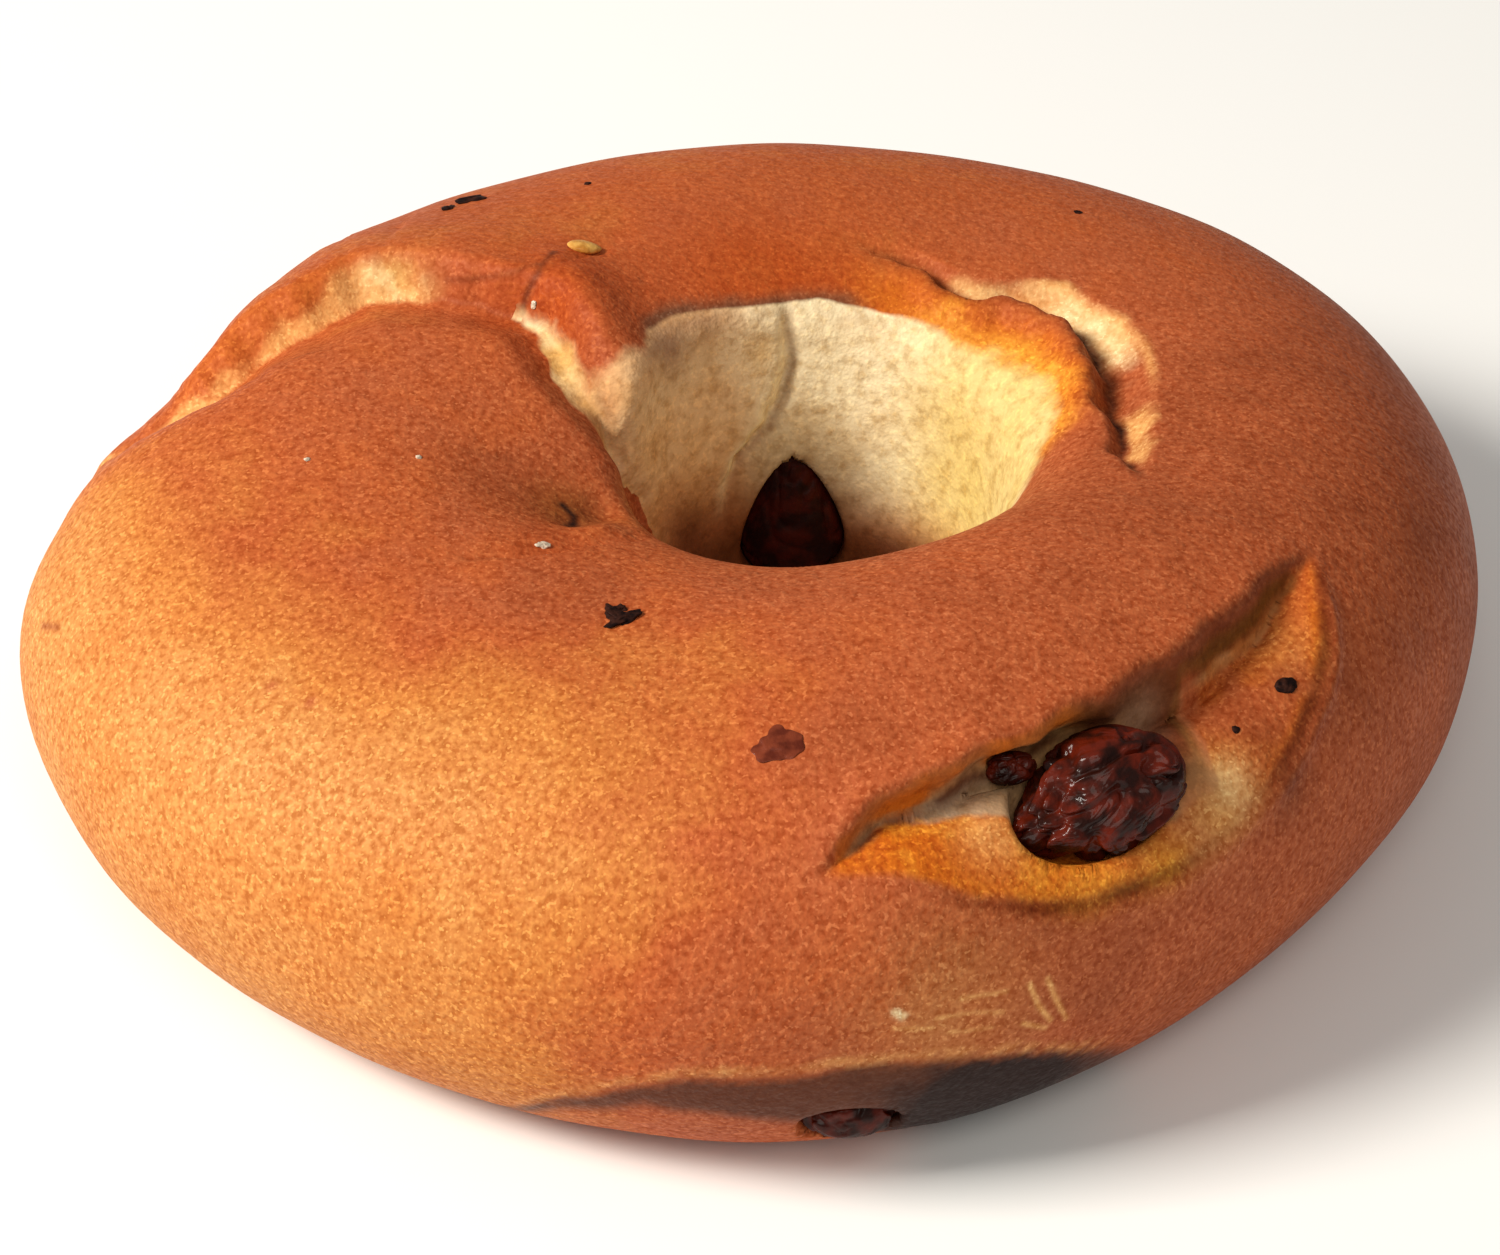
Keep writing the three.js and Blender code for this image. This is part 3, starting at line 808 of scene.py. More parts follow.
# Each dent is a direction from the raisin's middle, a radius and a depth.
SPLIT_RAISIN_DENTS = (
    (-0.75, 0.62, 0.2, 0.5, 0.2),
    (-0.6, -0.75, 0.1, 0.4, 0.12),
    (-0.42, 0.1, 0.9, 0.25, 0.2),
    (0.1, 0.45, 0.9, 0.3, -0.1),
    (0.66, 0.72, 0.1, 0.2, 0.14),
    (0.35, -0.2, 0.9, 0.25, 0.14),
    (-0.9, -0.1, 0.4, 0.3, -0.06),
)
RAISINS: tuple[RaisinShape, ...] = (
    RaisinShape(
        node="raisin_split",
        at=(19.6, -37.3, 27.0),
        half=(6.9, 4.6, 3.4),
        turn=(40, -12, 24),
        phase=0.4,
        opens=(0.12, -0.76, 0.64),
        fold=0.13,
        dents=SPLIT_RAISIN_DENTS,
    ),
    RaisinShape(
        node="raisin_split_small",
        at=(13.6, -36.6, 28.8),
        half=(1.9, 1.3, 1.1),
        turn=(30, 0, 20),
        phase=1.7,
        opens=(0.25, -0.72, 0.64),
    ),
    RaisinShape(
        node="raisin_hole",
        at=(-1.2, 16.2, 12.0),
        half=(5.4, 3.2, 6.2),
        turn=(-9, 0, 3),
        phase=2.6,
        opens=(0.07, -1.0, 0.0),
        fold=0.05,
        narrow=0.5,
    ),
    RaisinShape(
        node="raisin_base",
        at=(2.3, -47.3, 7.0),
        half=(3.8, 2.6, 2.2),
        turn=(28, 4, 6),
        phase=3.9,
        opens=(0.07, -1.0, 0.0),
        fold=0.1,
    ),
)


# ---- the whole dough ----
@dataclass
class Dough:
    """The dough's distance field, with every fold, tear and seat."""

    rope: Rope = field(default_factory=Rope)
    wall: HoleWall = field(default_factory=HoleWall)
    base_round: float = 3.0
    seat_gap: float = -0.12
    seat_round: float = 0.5
    seat_reach: float = 12.0
    swells: tuple[Wave, ...] = ((34, 0.16, 0.7), (11, 0.06, 1.9))
    search_from: float = 6.0
    search_steps: int = 24
    search_share: float = 0.6
    least_slope: float = 0.3
    longest_move: float = 0.6
    found: dict[tuple[float, float], Points] = field(default_factory=dict)

    def __post_init__(self) -> None:
        """Lay out the features."""
        rope = self.rope
        self.join = Join(SurfaceLine(rope, JOIN_STATIONS, 16), 2.5, 0.42)
        self.crack = Crack(SurfaceLine(rope, CRACK_STATIONS, 9), 4.0, 0.36)
        self.split = Split(SurfaceLine(rope, SPLIT_STATIONS, 12), 7.5, 0.36)
        self.crease = Join(SurfaceLine(rope, CREASE_STATIONS, 9, -1.0), 2.0, 0.45)
        self.curl = Ridge(SurfaceLine(rope, CURL_STATIONS, 9), 2.5, 0.6)
        self.roll = Ridge(SurfaceLine(rope, ROLL_STATIONS, 9), 1.5, 0.45)
        self.pit = Join(SurfaceLine(rope, PIT_STATIONS, 9, -1.0), 2.0, 0.45)
        first = [self.join, self.crack, self.split, self.crease]
        self.features = [*first, self.curl, self.roll, self.pit]
        self.lump_spots = [(lump, rope.spot(lump.ring, lump.rope)) for lump in LUMPS]

    def body(self, points: Points) -> Points:
        """The dough without its tears and folds.

        Args:
            points: Places in the dough's frame.

        Returns:
            Distances in millimetres, negative inside.
        """
        d = self.rope.distance(points)
        for lump, at in self.lump_spots:
            far = np.linalg.norm(points - at, axis=-1)
            d = d - lump.high * bell(far / lump.radius)
        d = self.wall.apply(d, points)
        for wavelength, high, turn in self.swells:
            d = d - swell(points, wavelength, high, turn)
        return d

    def distance(self, points: Points) -> Points:
        """The finished dough.

        Args:
            points: A list of places in the dough's frame.

        Returns:
            Distances in millimetres, negative inside.
        """
        base = self.body(points)
        d = base
        for feature in self.features:
            d = feature.apply(d, base, points)
        for raisin in RAISINS:
            near = np.linalg.norm(points - np.array(raisin.at), axis=-1) < self.seat_reach
            if near.any():
                seat = -(raisin.seat(points[near]) - self.seat_gap)
                d[near] = soft_max(d[near], seat, self.seat_round)
        return soft_max(d, -points[..., 2], self.base_round)

    def on_surface(self, ring: float, rope: float) -> Points:
        """The place on the dough at a ring angle and a rope angle.

        Args:
            ring: Ring angle in degrees.
            rope: Rope angle in degrees.

        Returns:
            The place.
        """
        key = (ring, rope)
        if key not in self.found:
            start = self.rope.centre(np.radians(np.float64(ring)))
            way = unit(self.rope.spot(ring, rope) - start)
            reach = self.search_from
            for _ in range(self.search_steps):
                gap = float(self.distance((start + way * reach)[None])[0])
                reach -= self.search_share * gap
            self.found[key] = start + way * reach
        return self.found[key]

    def settle(self, points: Points, steps: int = 3) -> Points:
        """Move points down the slope of the field onto the surface.

        Args:
            points: Places near the surface.
            steps: How many moves.

        Returns:
            Places on the surface.
        """
        for _ in range(steps):
            slope = slope_of(self.distance, points)
            steep = np.maximum((slope * slope).sum(-1), self.least_slope)
            move = slope * (self.distance(points) / steep)[:, None]
            long = np.linalg.norm(move, axis=1, keepdims=True)
            points = points - move * np.minimum(1, self.longest_move / np.maximum(long, 1e-9))
        return points


# ---- the dough's mesh ----
@dataclass
class DoughMesher:
    """Turns the dough's field into triangles, fine where the dough is torn or folded."""

    dough: Dough
    rounds: int
    ring_steps: int = 230
    rope_steps: int = 84
    push_from: float = 3.0
    push_steps: int = 24
    push_out: float = 0.7
    push_in: float = 0.5
    plain_edge: float = 1.15
    base_edge: float = 3.5
    base_height: float = 0.25
    fine_edge: float = 0.3
    growth: float = 0.3
    line_growth: float = 0.16
    small_lump: float = 2.5
    stroke_edge: float = 0.7
    stroke_growth: float = 0.4
    slack: float = 1.35
    limit: int = 196000

    def build(self) -> tuple[Points, Points]:
        """Make the surface.

        Returns:
            Points in the dough's frame and triangles.
        """
        points, faces = self._first_surface()
        for _ in range(self.rounds):
            points, faces = self._refine(points, faces)
        height = self.dough.body(points)
        return self.dough.split.lean(points, height), faces

    def _first_surface(self) -> tuple[Points, Points]:
        """A closed grid pushed out from the rope's centre line.

        Returns:
            Points and triangles.
        """
        ring = np.linspace(-np.pi, np.pi, self.ring_steps, endpoint=False)
        rope = np.linspace(-np.pi, np.pi, self.rope_steps, endpoint=False)
        ring, rope = (a.ravel() for a in np.meshgrid(ring, rope, indexing="ij"))
        start = self.dough.rope.centre(ring)
        way = np.stack(
            [np.cos(rope) * np.cos(ring), np.cos(rope) * np.sin(ring), np.sin(rope)], -1
        )
        reach = np.full(len(ring), self.push_from)
        for _ in range(self.push_steps):
            d = self.dough.distance(start + way * reach[:, None])
            reach = reach + np.where(d < 0, -d * self.push_out, -d * self.push_in)
        index = np.arange(len(ring)).reshape(self.ring_steps, self.rope_steps)
        b = np.roll(index, -1, 0)
        quads = np.stack([index, b, np.roll(b, -1, 1), np.roll(index, -1, 1)], -1).reshape(-1, 4)
        faces = np.concatenate([quads[:, [0, 1, 2]], quads[:, [0, 2, 3]]])
        return start + way * reach[:, None], faces

    def _wanted(self, points: Points) -> Points:
        """Edge length asked for at each place.

        Args:
            points: Middles of edges.

        Returns:
            Lengths in millimetres.
        """
        base = self.dough.body(points)
        edge = np.full(len(points), self.plain_edge)
        for feature in self.dough.features:
            m = feature.line.share(points, base) > 0
            near = feature.line.locate(points[m])
            away = np.maximum(np.abs(near.across) - feature.fine_reach, 0) + near.over
            edge[m] = np.minimum(edge[m], feature.fine_edge + self.line_growth * away)
        for raisin in RAISINS:
            gap = np.abs(raisin.seat(points)) + 2 * np.maximum(base - 1, 0)
            edge = np.minimum(edge, self.fine_edge + self.growth * gap)
        for lump, at in self.dough.lump_spots:
            if lump.radius < self.small_lump:
                far = np.linalg.norm(points - at, axis=-1) - 1.5 * lump.radius
                edge = np.minimum(edge, self.fine_edge + self.growth * np.maximum(far, 0))
        for stroke in STROKES:
            far = stroke.away(self.dough, points) - stroke.width
            grown = self.stroke_growth * np.maximum(far, 0)
            edge = np.minimum(edge, self.stroke_edge * stroke.width + grown)
        return np.where(points[:, 2] < self.base_height, self.base_edge, edge)

    def _refine(self, points: Points, faces: Points) -> tuple[Points, Points]:
        """Split every edge that is longer than its place asks for.

        Args:
            points: The surface's points.
            faces: Its triangles.

        Returns:
            The finer points and triangles.
        """
        ends = np.sort(np.stack([faces, np.roll(faces, -1, 1)], -1), -1).reshape(-1, 2)
        total = np.int64(len(points))
        keys, back = np.unique(ends[:, 0] * total + ends[:, 1], return_inverse=True)
        first, second = keys // total, keys % total
        middle = (points[first] + points[second]) / 2
        long = np.linalg.norm(points[first] - points[second], axis=1)
        ratio = long / (self._wanted(middle) * self.slack)
        cut = ratio > 1
        spare = (self.limit - len(faces)) // 2
        if cut.sum() > spare:
            cut = ratio > max(1.0, np.sort(ratio)[-max(spare, 1)])
        number = np.full(len(keys), -1)
        number[cut] = total + np.arange(cut.sum())
        points = np.vstack([points, self.dough.settle(middle[cut])])
        return points, self._split_faces(faces, number[back].reshape(-1, 3))

    @staticmethod
    def _split_faces(faces: Points, mids: Points) -> Points:
        """Divide triangles by which of their edges are cut.

        Args:
            faces: Triangles.
            mids: The new point on each edge, or -1.

        Returns:
            The new triangles.
        """
        cuts = (mids >= 0).sum(1)
        out = [faces[cuts == 0]]
        (a, b, c), (ab, bc, ca) = faces[cuts == 3].T, mids[cuts == 3].T
        for corner in ((a, ab, ca), (ab, b, bc), (ca, bc, c), (ab, bc, ca)):
            out.append(np.stack(corner, 1))
        for turn in range(3):
            turned, turned_mids = np.roll(faces, -turn, 1), np.roll(mids, -turn, 1)
            one = (cuts == 1) & (turned_mids[:, 0] >= 0)
            (a, b, c), (ab, _, _) = turned[one].T, turned_mids[one].T
            out += [np.stack((a, ab, c), 1), np.stack((ab, b, c), 1)]
            two = (cuts == 2) & (turned_mids[:, 0] < 0)
            (a, b, c), (_, bc, ca) = turned[two].T, turned_mids[two].T
            out += [np.stack((a, b, bc), 1), np.stack((a, bc, ca), 1), np.stack((ca, bc, c), 1)]
        return np.concatenate(out)


# ---- unevenness for colour and small relief ----
class Grain:
    """Smooth random unevenness, the same on every run."""

    def __init__(self, seed: int) -> None:
        """Shuffle the table of random slopes.

        Args:
            seed: Sets which unevenness this is.
        """
        random = np.random.default_rng(seed)
        self.table = np.tile(random.permutation(256), 2)
        self.slopes = unit(random.normal(size=(256, 3)))

    def at(self, points: Points) -> Points:
        """Unevenness at places one unit apart.

        Args:
            points: Places, already divided by the size of the unevenness.

        Returns:
            Values from about -1 to 1.
        """
        cell = np.floor(points).astype(int)
        part = points - cell
        ease = part * part * part * (part * (part * 6 - 15) + 10)
        total = np.zeros(points.shape[:-1])
        for corner in np.ndindex(2, 2, 2):
            step = np.array(corner)
            i, j, k = ((cell + step) & 255).T
            slope = self.slopes[self.table[self.table[self.table[i] + j] + k]]
            weight = np.prod(np.where(step == 1, ease, 1 - ease), -1)
            total += weight * (slope * (part - step)).sum(-1)
        return total * 1.6

    def layered(self, points: Points, size: float, layers: int = 3) -> Points:
        """Unevenness of a size, with finer layers on top.

        Args:
            points: Places in millimetres.
            size: Size of the coarsest layer.
            layers: How many layers, each half the size of the one before.

        Returns:
            Values from about -1 to 1.
        """
        total = np.zeros(points.shape[:-1])
        for k in range(layers):
            total += self.at(points * (2.0**k / size) + 7.3 * k) * 0.5**k
        return total


# ---- colours of the bake ----
class Tone(Enum):
    """The colours of crust and crumb, some also laid as painted shade."""

    PALE = "#dfa466"
    GOLD = "#c5884f"
    AMBER = "#bf7439"
    CHESTNUT = "#ae562d"
    RUSSET = "#a85431"
    BROWN = "#8a4224"
    DARK = "#552614"
    BURNT = "#1e0c0a"
    ORANGE = "#c06014"
    FLAME = "#a54414"
    YELLOW = "#dd9232"
    CREAM = "#f4e2b8"
    STRAW = "#d3a765"
    HONEY = "#d6b765"
    FAWN = "#b07c52"
    # Grey-brown laid as painted shade under the hole's back rim and the split's upper lip.
    SHADE_GREY = "#a0785c"
    ASH = "#b9a084"
    UMBER = "#5e4434"
    OLIVE = "#6c3f10"
    RUST = "#6c2a0a"
    PLUM = "#4c281a"

    def light(self) -> Points:
        """The colour as linear light."""
        return np.array(linear(self.value))


@dataclass(frozen=True)
class BakedPatch:
    """A part of the crust that baked more or less: place, radius and bake from 0 to 1."""

    ring: float
    rope: float
    radius: float
    bake: float
    weight: float = 1.0


@dataclass(frozen=True)
class TintedPatch:
    """A small patch of another colour: place, radius, tone and strength."""

    ring: float
    rope: float
    radius: float
    tone: Tone
    strength: float = 0.8


@dataclass(frozen=True)
class Spot:
    """A soft spot of colour at a place in the dough's frame."""

    at: Place
    radius: float
    tone: Tone
    strength: float = 0.8


@dataclass(frozen=True)
class Stroke:
    """A thin mark on the crust through places on the ring: width, tone and strength."""

    places: tuple[tuple[float, float], ...]
    width: float
    tone: Tone
    strength: float = 0.7

    def away(self, dough: Dough, points: Points) -> Points:
        """Distance from the mark.

        Args:
            dough: The dough that it is on.
            points: Places in the dough's frame.

        Returns:
            Distances in millimetres.
        """
        spots = [dough.on_surface(*place) for place in self.places]
        far = np.full(len(points), 1e3)
        for a, b in zip(spots, spots[1:]):
            step = b - a
            u = np.clip((points - a) @ step / (step @ step), 0, 1)
            far = np.minimum(far, np.linalg.norm(points - a - u[:, None] * step, axis=-1))
        return far


BAKE_STEPS: tuple[tuple[float, Tone], ...] = (
    (0.0, Tone.PALE),
    (0.2, Tone.GOLD),
    (0.4, Tone.AMBER),
    (0.55, Tone.CHESTNUT),
    (0.63, Tone.RUSSET),
    (0.82, Tone.BROWN),
    (1.0, Tone.DARK),
)
BAKED: tuple[BakedPatch, ...] = (
    BakedPatch(-145, 27, 16, 0.26, 2.5),
    BakedPatch(-165, 18, 12, 0.22, 1.5),
    BakedPatch(-129, 19, 14, 0.29, 2.0),
    BakedPatch(-117, 33, 12, 0.34, 1.5),
    BakedPatch(-127, -2, 9, 0.38, 1.0),
    BakedPatch(-99, 13, 10, 0.66, 1.3),
    BakedPatch(173, 106, 12, 0.66, 1.5),
    BakedPatch(-164, 69, 10, 0.62, 1.8),
    BakedPatch(-141, 76, 9, 0.73, 2.2),
    BakedPatch(-77, 95, 10, 0.6, 1.0),
    BakedPatch(-109, 71, 9, 0.47, 1.2),
    BakedPatch(-64, 85, 12, 0.64, 1.2),
    BakedPatch(-19, 36, 20, 0.71, 1.5),
    BakedPatch(7, 68, 14, 0.82, 1.2),
    # Partly a darker bake and partly painted shade below the split's raised lower lip.
    BakedPatch(-44, 12, 11, 0.72, 1.5),
    BakedPatch(-42, -9, 14, 0.58, 1.0),
    BakedPatch(-61, 2, 12, 0.68, 1.2),
    BakedPatch(91, 89, 16, 0.58, 1.2),
    BakedPatch(141, 71, 9, 0.55, 1.0),
    BakedPatch(153, 54, 7, 0.56, 1.5),
    BakedPatch(44, 71, 16, 0.56, 1.0),
    BakedPatch(90, 30, 22, 0.55, 1.0),
    BakedPatch(30, 20, 20, 0.62, 1.0),
    BakedPatch(152, 20, 16, 0.56, 1.5),
)
TINTS: tuple[TintedPatch, ...] = (
    TintedPatch(104, 116, 7, Tone.FLAME, 0.7),
    TintedPatch(85, 119, 5, Tone.FLAME, 0.6),
    TintedPatch(141, 108, 6, Tone.FLAME, 0.85),
    TintedPatch(-38, 41, 3.2, Tone.BROWN, 0.6),
    TintedPatch(-129, 101, 5, Tone.BROWN, 0.4),
    # Painted shade in the shallow dent and the pit beside it: the brown, olive, black and dark
    # patches below.
    TintedPatch(-168, 121, 4.5, Tone.BROWN, 0.55),
    TintedPatch(-160.5, 132, 3.0, Tone.OLIVE, 0.6),
    TintedPatch(-160.5, 137.5, 1.2, Tone.BURNT, 0.85),
    TintedPatch(-156, 131, 1.1, Tone.DARK, 0.8),
    TintedPatch(-144, 118, 3.5, Tone.FLAME, 0.4),
    TintedPatch(-79.5, 6, 6, Tone.GOLD, 0.4),
)
# Crumb colours inside the split and the hole, and crust colours beside the split; most hole spots
# and the split's grey spot are painted shade.
SPLIT_SPOTS: tuple[Spot, ...] = (
    # The grey spot is painted shade at the upper lip's edge.
    Spot((22.9, -31.1, 28.8), 2.0, Tone.SHADE_GREY, 0.8),
    Spot((26.8, -33.8, 25.2), 1.8, Tone.FAWN, 0.8),
    Spot((29.0, -33.6, 25.0), 1.7, Tone.PALE, 0.95),
    Spot((27.6, -36.0, 24.2), 1.4, Tone.PALE, 0.8),
    Spot((29.0, -33.8, 25.0), 0.9, Tone.CREAM, 0.45),
    Spot((16.3, -41.0, 24.0), 2.2, Tone.AMBER, 0.4),
)
HOLE_SPOTS: tuple[Spot, ...] = (
    # Painted shade under the flap and the back rim, down the left wall and round the raisin; the
    # straw and honey spots are the crumb's own colour.
    Spot((-15.8, 6.9, 28.9), 1.6, Tone.AMBER, 0.5),
    Spot((-10.5, 12.2, 30.0), 2.2, Tone.SHADE_GREY, 0.7),
    Spot((-11.6, 9.2, 18.5), 3.0, Tone.AMBER, 0.35),
    Spot((-11.3, 9.4, 16.0), 2.4, Tone.BROWN, 0.5),
    Spot((-9.8, 10.6, 13.5), 2.6, Tone.DARK, 0.75),
    Spot((-1.0, 14.5, 12.0), 6.5, Tone.OLIVE, 0.6),
    Spot((-1.0, 14.5, 11.0), 5.5, Tone.DARK, 0.75),
    Spot((-3.4, 16.2, 27.5), 1.6, Tone.STRAW, 0.5),
    Spot((13.5, 9.0, 19.5), 3.0, Tone.HONEY, 0.6),
)
LEDGE_SPOTS: tuple[Spot, ...] = (
    Spot((31.1, -29.6, 26.2), 2.0, Tone.BROWN, 0.65),
    Spot((34.2, -25.5, 27.6), 1.5, Tone.BROWN, 0.5),
    Spot((33.8, -23.0, 28.5), 2.4, Tone.AMBER, 0.6),
    Spot((28.9, -34.0, 25.4), 2.4, Tone.YELLOW, 0.7),
    Spot((29.2, -34.3, 25.2), 1.7, Tone.CREAM, 0.55),
    Spot((29.2, -34.3, 25.2), 2.0, Tone.PALE, 0.6),
    Spot((34.2, -31.8, 24.0), 2.6, Tone.DARK, 0.45),
    Spot((11.9, -42.1, 27.2), 2.4, Tone.PALE, 0.55),
    Spot((18.4, -43.0, 24.0), 2.2, Tone.YELLOW, 0.4),
    Spot((23.7, -39.8, 23.6), 2.4, Tone.YELLOW, 0.45),
    Spot((27.3, -36.9, 23.7), 2.2, Tone.PALE, 0.6),
)
STROKES: tuple[Stroke, ...] = (
    Stroke(((-72.7, 7.7), (-71.9, 2.0), (-70.7, -3.0)), 0.2, Tone.PALE, 0.75),
    Stroke(((-71.1, 7.7), (-70.3, 2.0), (-69.2, -4.1)), 0.2, Tone.PALE, 0.7),
    Stroke(((-78.6, 8.8), (-76.8, 8.4), (-74.7, 7.7)), 0.2, Tone.PALE, 0.7),
    Stroke(((-73.2, -1.4), (-71.1, -4.6)), 0.2, Tone.PALE, 0.6),
    Stroke(((-80.5, 5.5), (-77.5, 5.0), (-75.0, 3.0)), 0.18, Tone.PALE, 0.5),
    Stroke(((-79.5, 1.5), (-76.0, 0.0)), 0.18, Tone.PALE, 0.45),
    Stroke(((-84.0, 5.0), (-81.0, 3.5)), 0.18, Tone.PALE, 0.45),
    Stroke(((-83.9, 8.6), (-83.3, 7.4)), 0.3, Tone.CREAM, 0.7),
    Stroke(((-168.8, 16.2), (-166.7, 19.5)), 0.3, Tone.BROWN, 0.7),
    Stroke(((165.6, 61.4), (164.9, 65.5)), 0.24, Tone.BROWN, 0.7),
    Stroke(((-175.8, 111.9), (-175.3, 118), (-175.1, 123)), 0.45, Tone.BROWN, 0.5),
    # Painted shade in the pit's curved dent.
    Stroke(((-163, 132.5), (-159.5, 134), (-156.5, 132.5)), 0.35, Tone.BURNT, 0.85),
    Stroke(((-156.5, 132.5), (-154.5, 129.5)), 0.35, Tone.BURNT, 0.85),
    Stroke(((-144.7, 42.3), (-144.7, 42.8)), 0.45, Tone.RUSSET, 0.7),
    Stroke(((-140.3, 43.8), (-140.3, 44.2)), 0.45, Tone.RUSSET, 0.7),
    # Painted shade in the creases along the roll's top edge and at the curl's end.
    Stroke(((146.3, 79.5), (145.1, 86.8), (143.3, 94.5), (139.4, 98.4)), 0.3, Tone.BROWN, 0.75),
    Stroke(((135, 96.4), (140.9, 100.3), (143.3, 100.6), (144.7, 101.6)), 0.35, Tone.DARK, 0.75),
)
# Ring angle, rope angle of the dark band's upper edge, partly dried juice and partly painted shade
# by the base, and how far down it reaches.
BASE_BAND: tuple[tuple[float, float, float], ...] = (
    (-118, -30, 0.5),
    (-110, -14, 0.8),
    (-103, -6, 1.6),
    (-99, -4, 2.4),
    (-91, -3, 4.0),
    (-83, -3, 9.0),
    (-77, -6, 14.0),
    (-71, -11, 14.0),
    (-64, -20, 14.0),
    (-58, -40, 14.0),
)
BLACK_JUICE = Spot((12.0, -46.0, 7.5), 7.0, Tone.BURNT, 0.95)
# Painted shade down the hole's wall, reaching higher on the shaded left: tone, height, more height
# at the left, fade, strength.
WALL_SHADES: tuple[tuple[Tone, float, float, float, float], ...] = (
    (Tone.AMBER, 18, 4, 8, 0.65),
    (Tone.BROWN, 15, 2.5, 5, 0.8),
    (Tone.DARK, 12.5, 1, 3, 0.9),
)
# Rope angles along the join, and the width in millimetres of its pale strip and of its crumb.
JOIN_STRIP = ((5, 25, 45, 60, 78), (1.2, 0.9, 1.0, 1.7, 0.9))
JOIN_CRUMB = (
    (99, 104, 112, 123, 138, 148, 157, 171),
    (0, 0.3, 1.1, 1.7, 1.5, 0.3, -0.4, -1.2),
)
# Shares along the split, and how far up across it the torn crumb begins.
SPLIT_BORDER = (
    (0, 0.1, 0.2, 0.28, 0.36, 0.46, 0.56, 0.59, 0.66, 0.74, 0.85, 0.93, 1),
    (0.3, 0.9, 1.1, 0.6, -2.4, -3.5, -3.7, -3.6, 2.6, 1.4, 0.5, -0.4, -0.5),
)
# Ring angle, the rope angle where the hole's crust ends, and how soft that edge is.
HOLE_RIM: tuple[tuple[float, float, float], ...] = (
    (-140, 148, 4.5),
    (-90, 146, 5.0),
    (-40, 144, 4.5),
    (0, 138, 3.0),
    (12, 130, 2.6),
    (24, 126, 2.8),
    (40, 129, 2.4),
    (52, 131, 1.5),
    (63, 128, 0.7),
    (73, 127, 0.45),
    (87, 125, 0.4),
    (102, 127, 0.4),
    (117, 126, 0.4),
    (128, 126, 0.5),
    (134, 127, 0.7),
    (139, 129, 1.0),
    (144, 130, 1.6),
    (150, 130, 2.0),
    (157, 129, 2.2),
    (166, 148, 1.2),
    (175, 148, 1.2),
)


@dataclass
class RingPlaces:
    """Where the surface's points lie on the ring."""

    rope: Rope
    points: Points
    ring: Points = field(init=False)
    turn: Points = field(init=False)

    def __post_init__(self) -> None:
        """Find ring and rope angles in degrees."""
        p = self.points
        angle = np.arctan2(p[:, 1], p[:, 0])
        middle, _, height, _ = self.rope.sizes(angle)
        self.ring = np.degrees(angle)
        out = np.hypot(p[:, 0], p[:, 1]) - middle
        turn = np.degrees(np.arctan2(p[:, 2] - height, out))
        self.turn = np.where(turn < -110, turn + 360, turn)

    def between(self, low: float, high: float, soft: float) -> Points:
        """One inside a span of ring angles, fading to zero outside.

        Args:
            low: Lower ring angle in degrees.
            high: Upper ring angle.
            soft: Width of the fade in degrees.

        Returns:
            Shares from 0 to 1.
        """
        middle, half = (low + high) / 2, (high - low) / 2
        off = np.abs((self.ring - middle + 180) % 360 - 180)
        return rise((half + soft - off) / soft)

    def near(self, spot: Points, radius: float) -> Points:
        """A bell of one radius round a spot, for every point."""
        return bell(np.linalg.norm(self.points - spot, axis=-1) / radius)


@dataclass
class Coat:
    """Colours of some points, with tones laid over one another."""

    colour: Points

    @classmethod
    def plain(cls, tone: Tone, count: int) -> Coat:
        """One tone for a number of points."""
        return cls(np.tile(tone.light(), (count, 1)))

    def lay(self, tone: Tone, share: Points) -> None:
        """Mix a tone in, by a share for each point."""
        self.blend(tone.light(), np.clip(share, 0, 1)[:, None])

    def blend(self, other: Points, part: Points) -> None:
        """Mix other colours in, by a column of shares."""
        self.colour = self.colour * (1 - part) + other * part


@dataclass
class Layers:
    """Crust and crumb colours of every point, and how far each lies past a torn edge."""

    crust: Points
    crumb: Points
    torn: Points


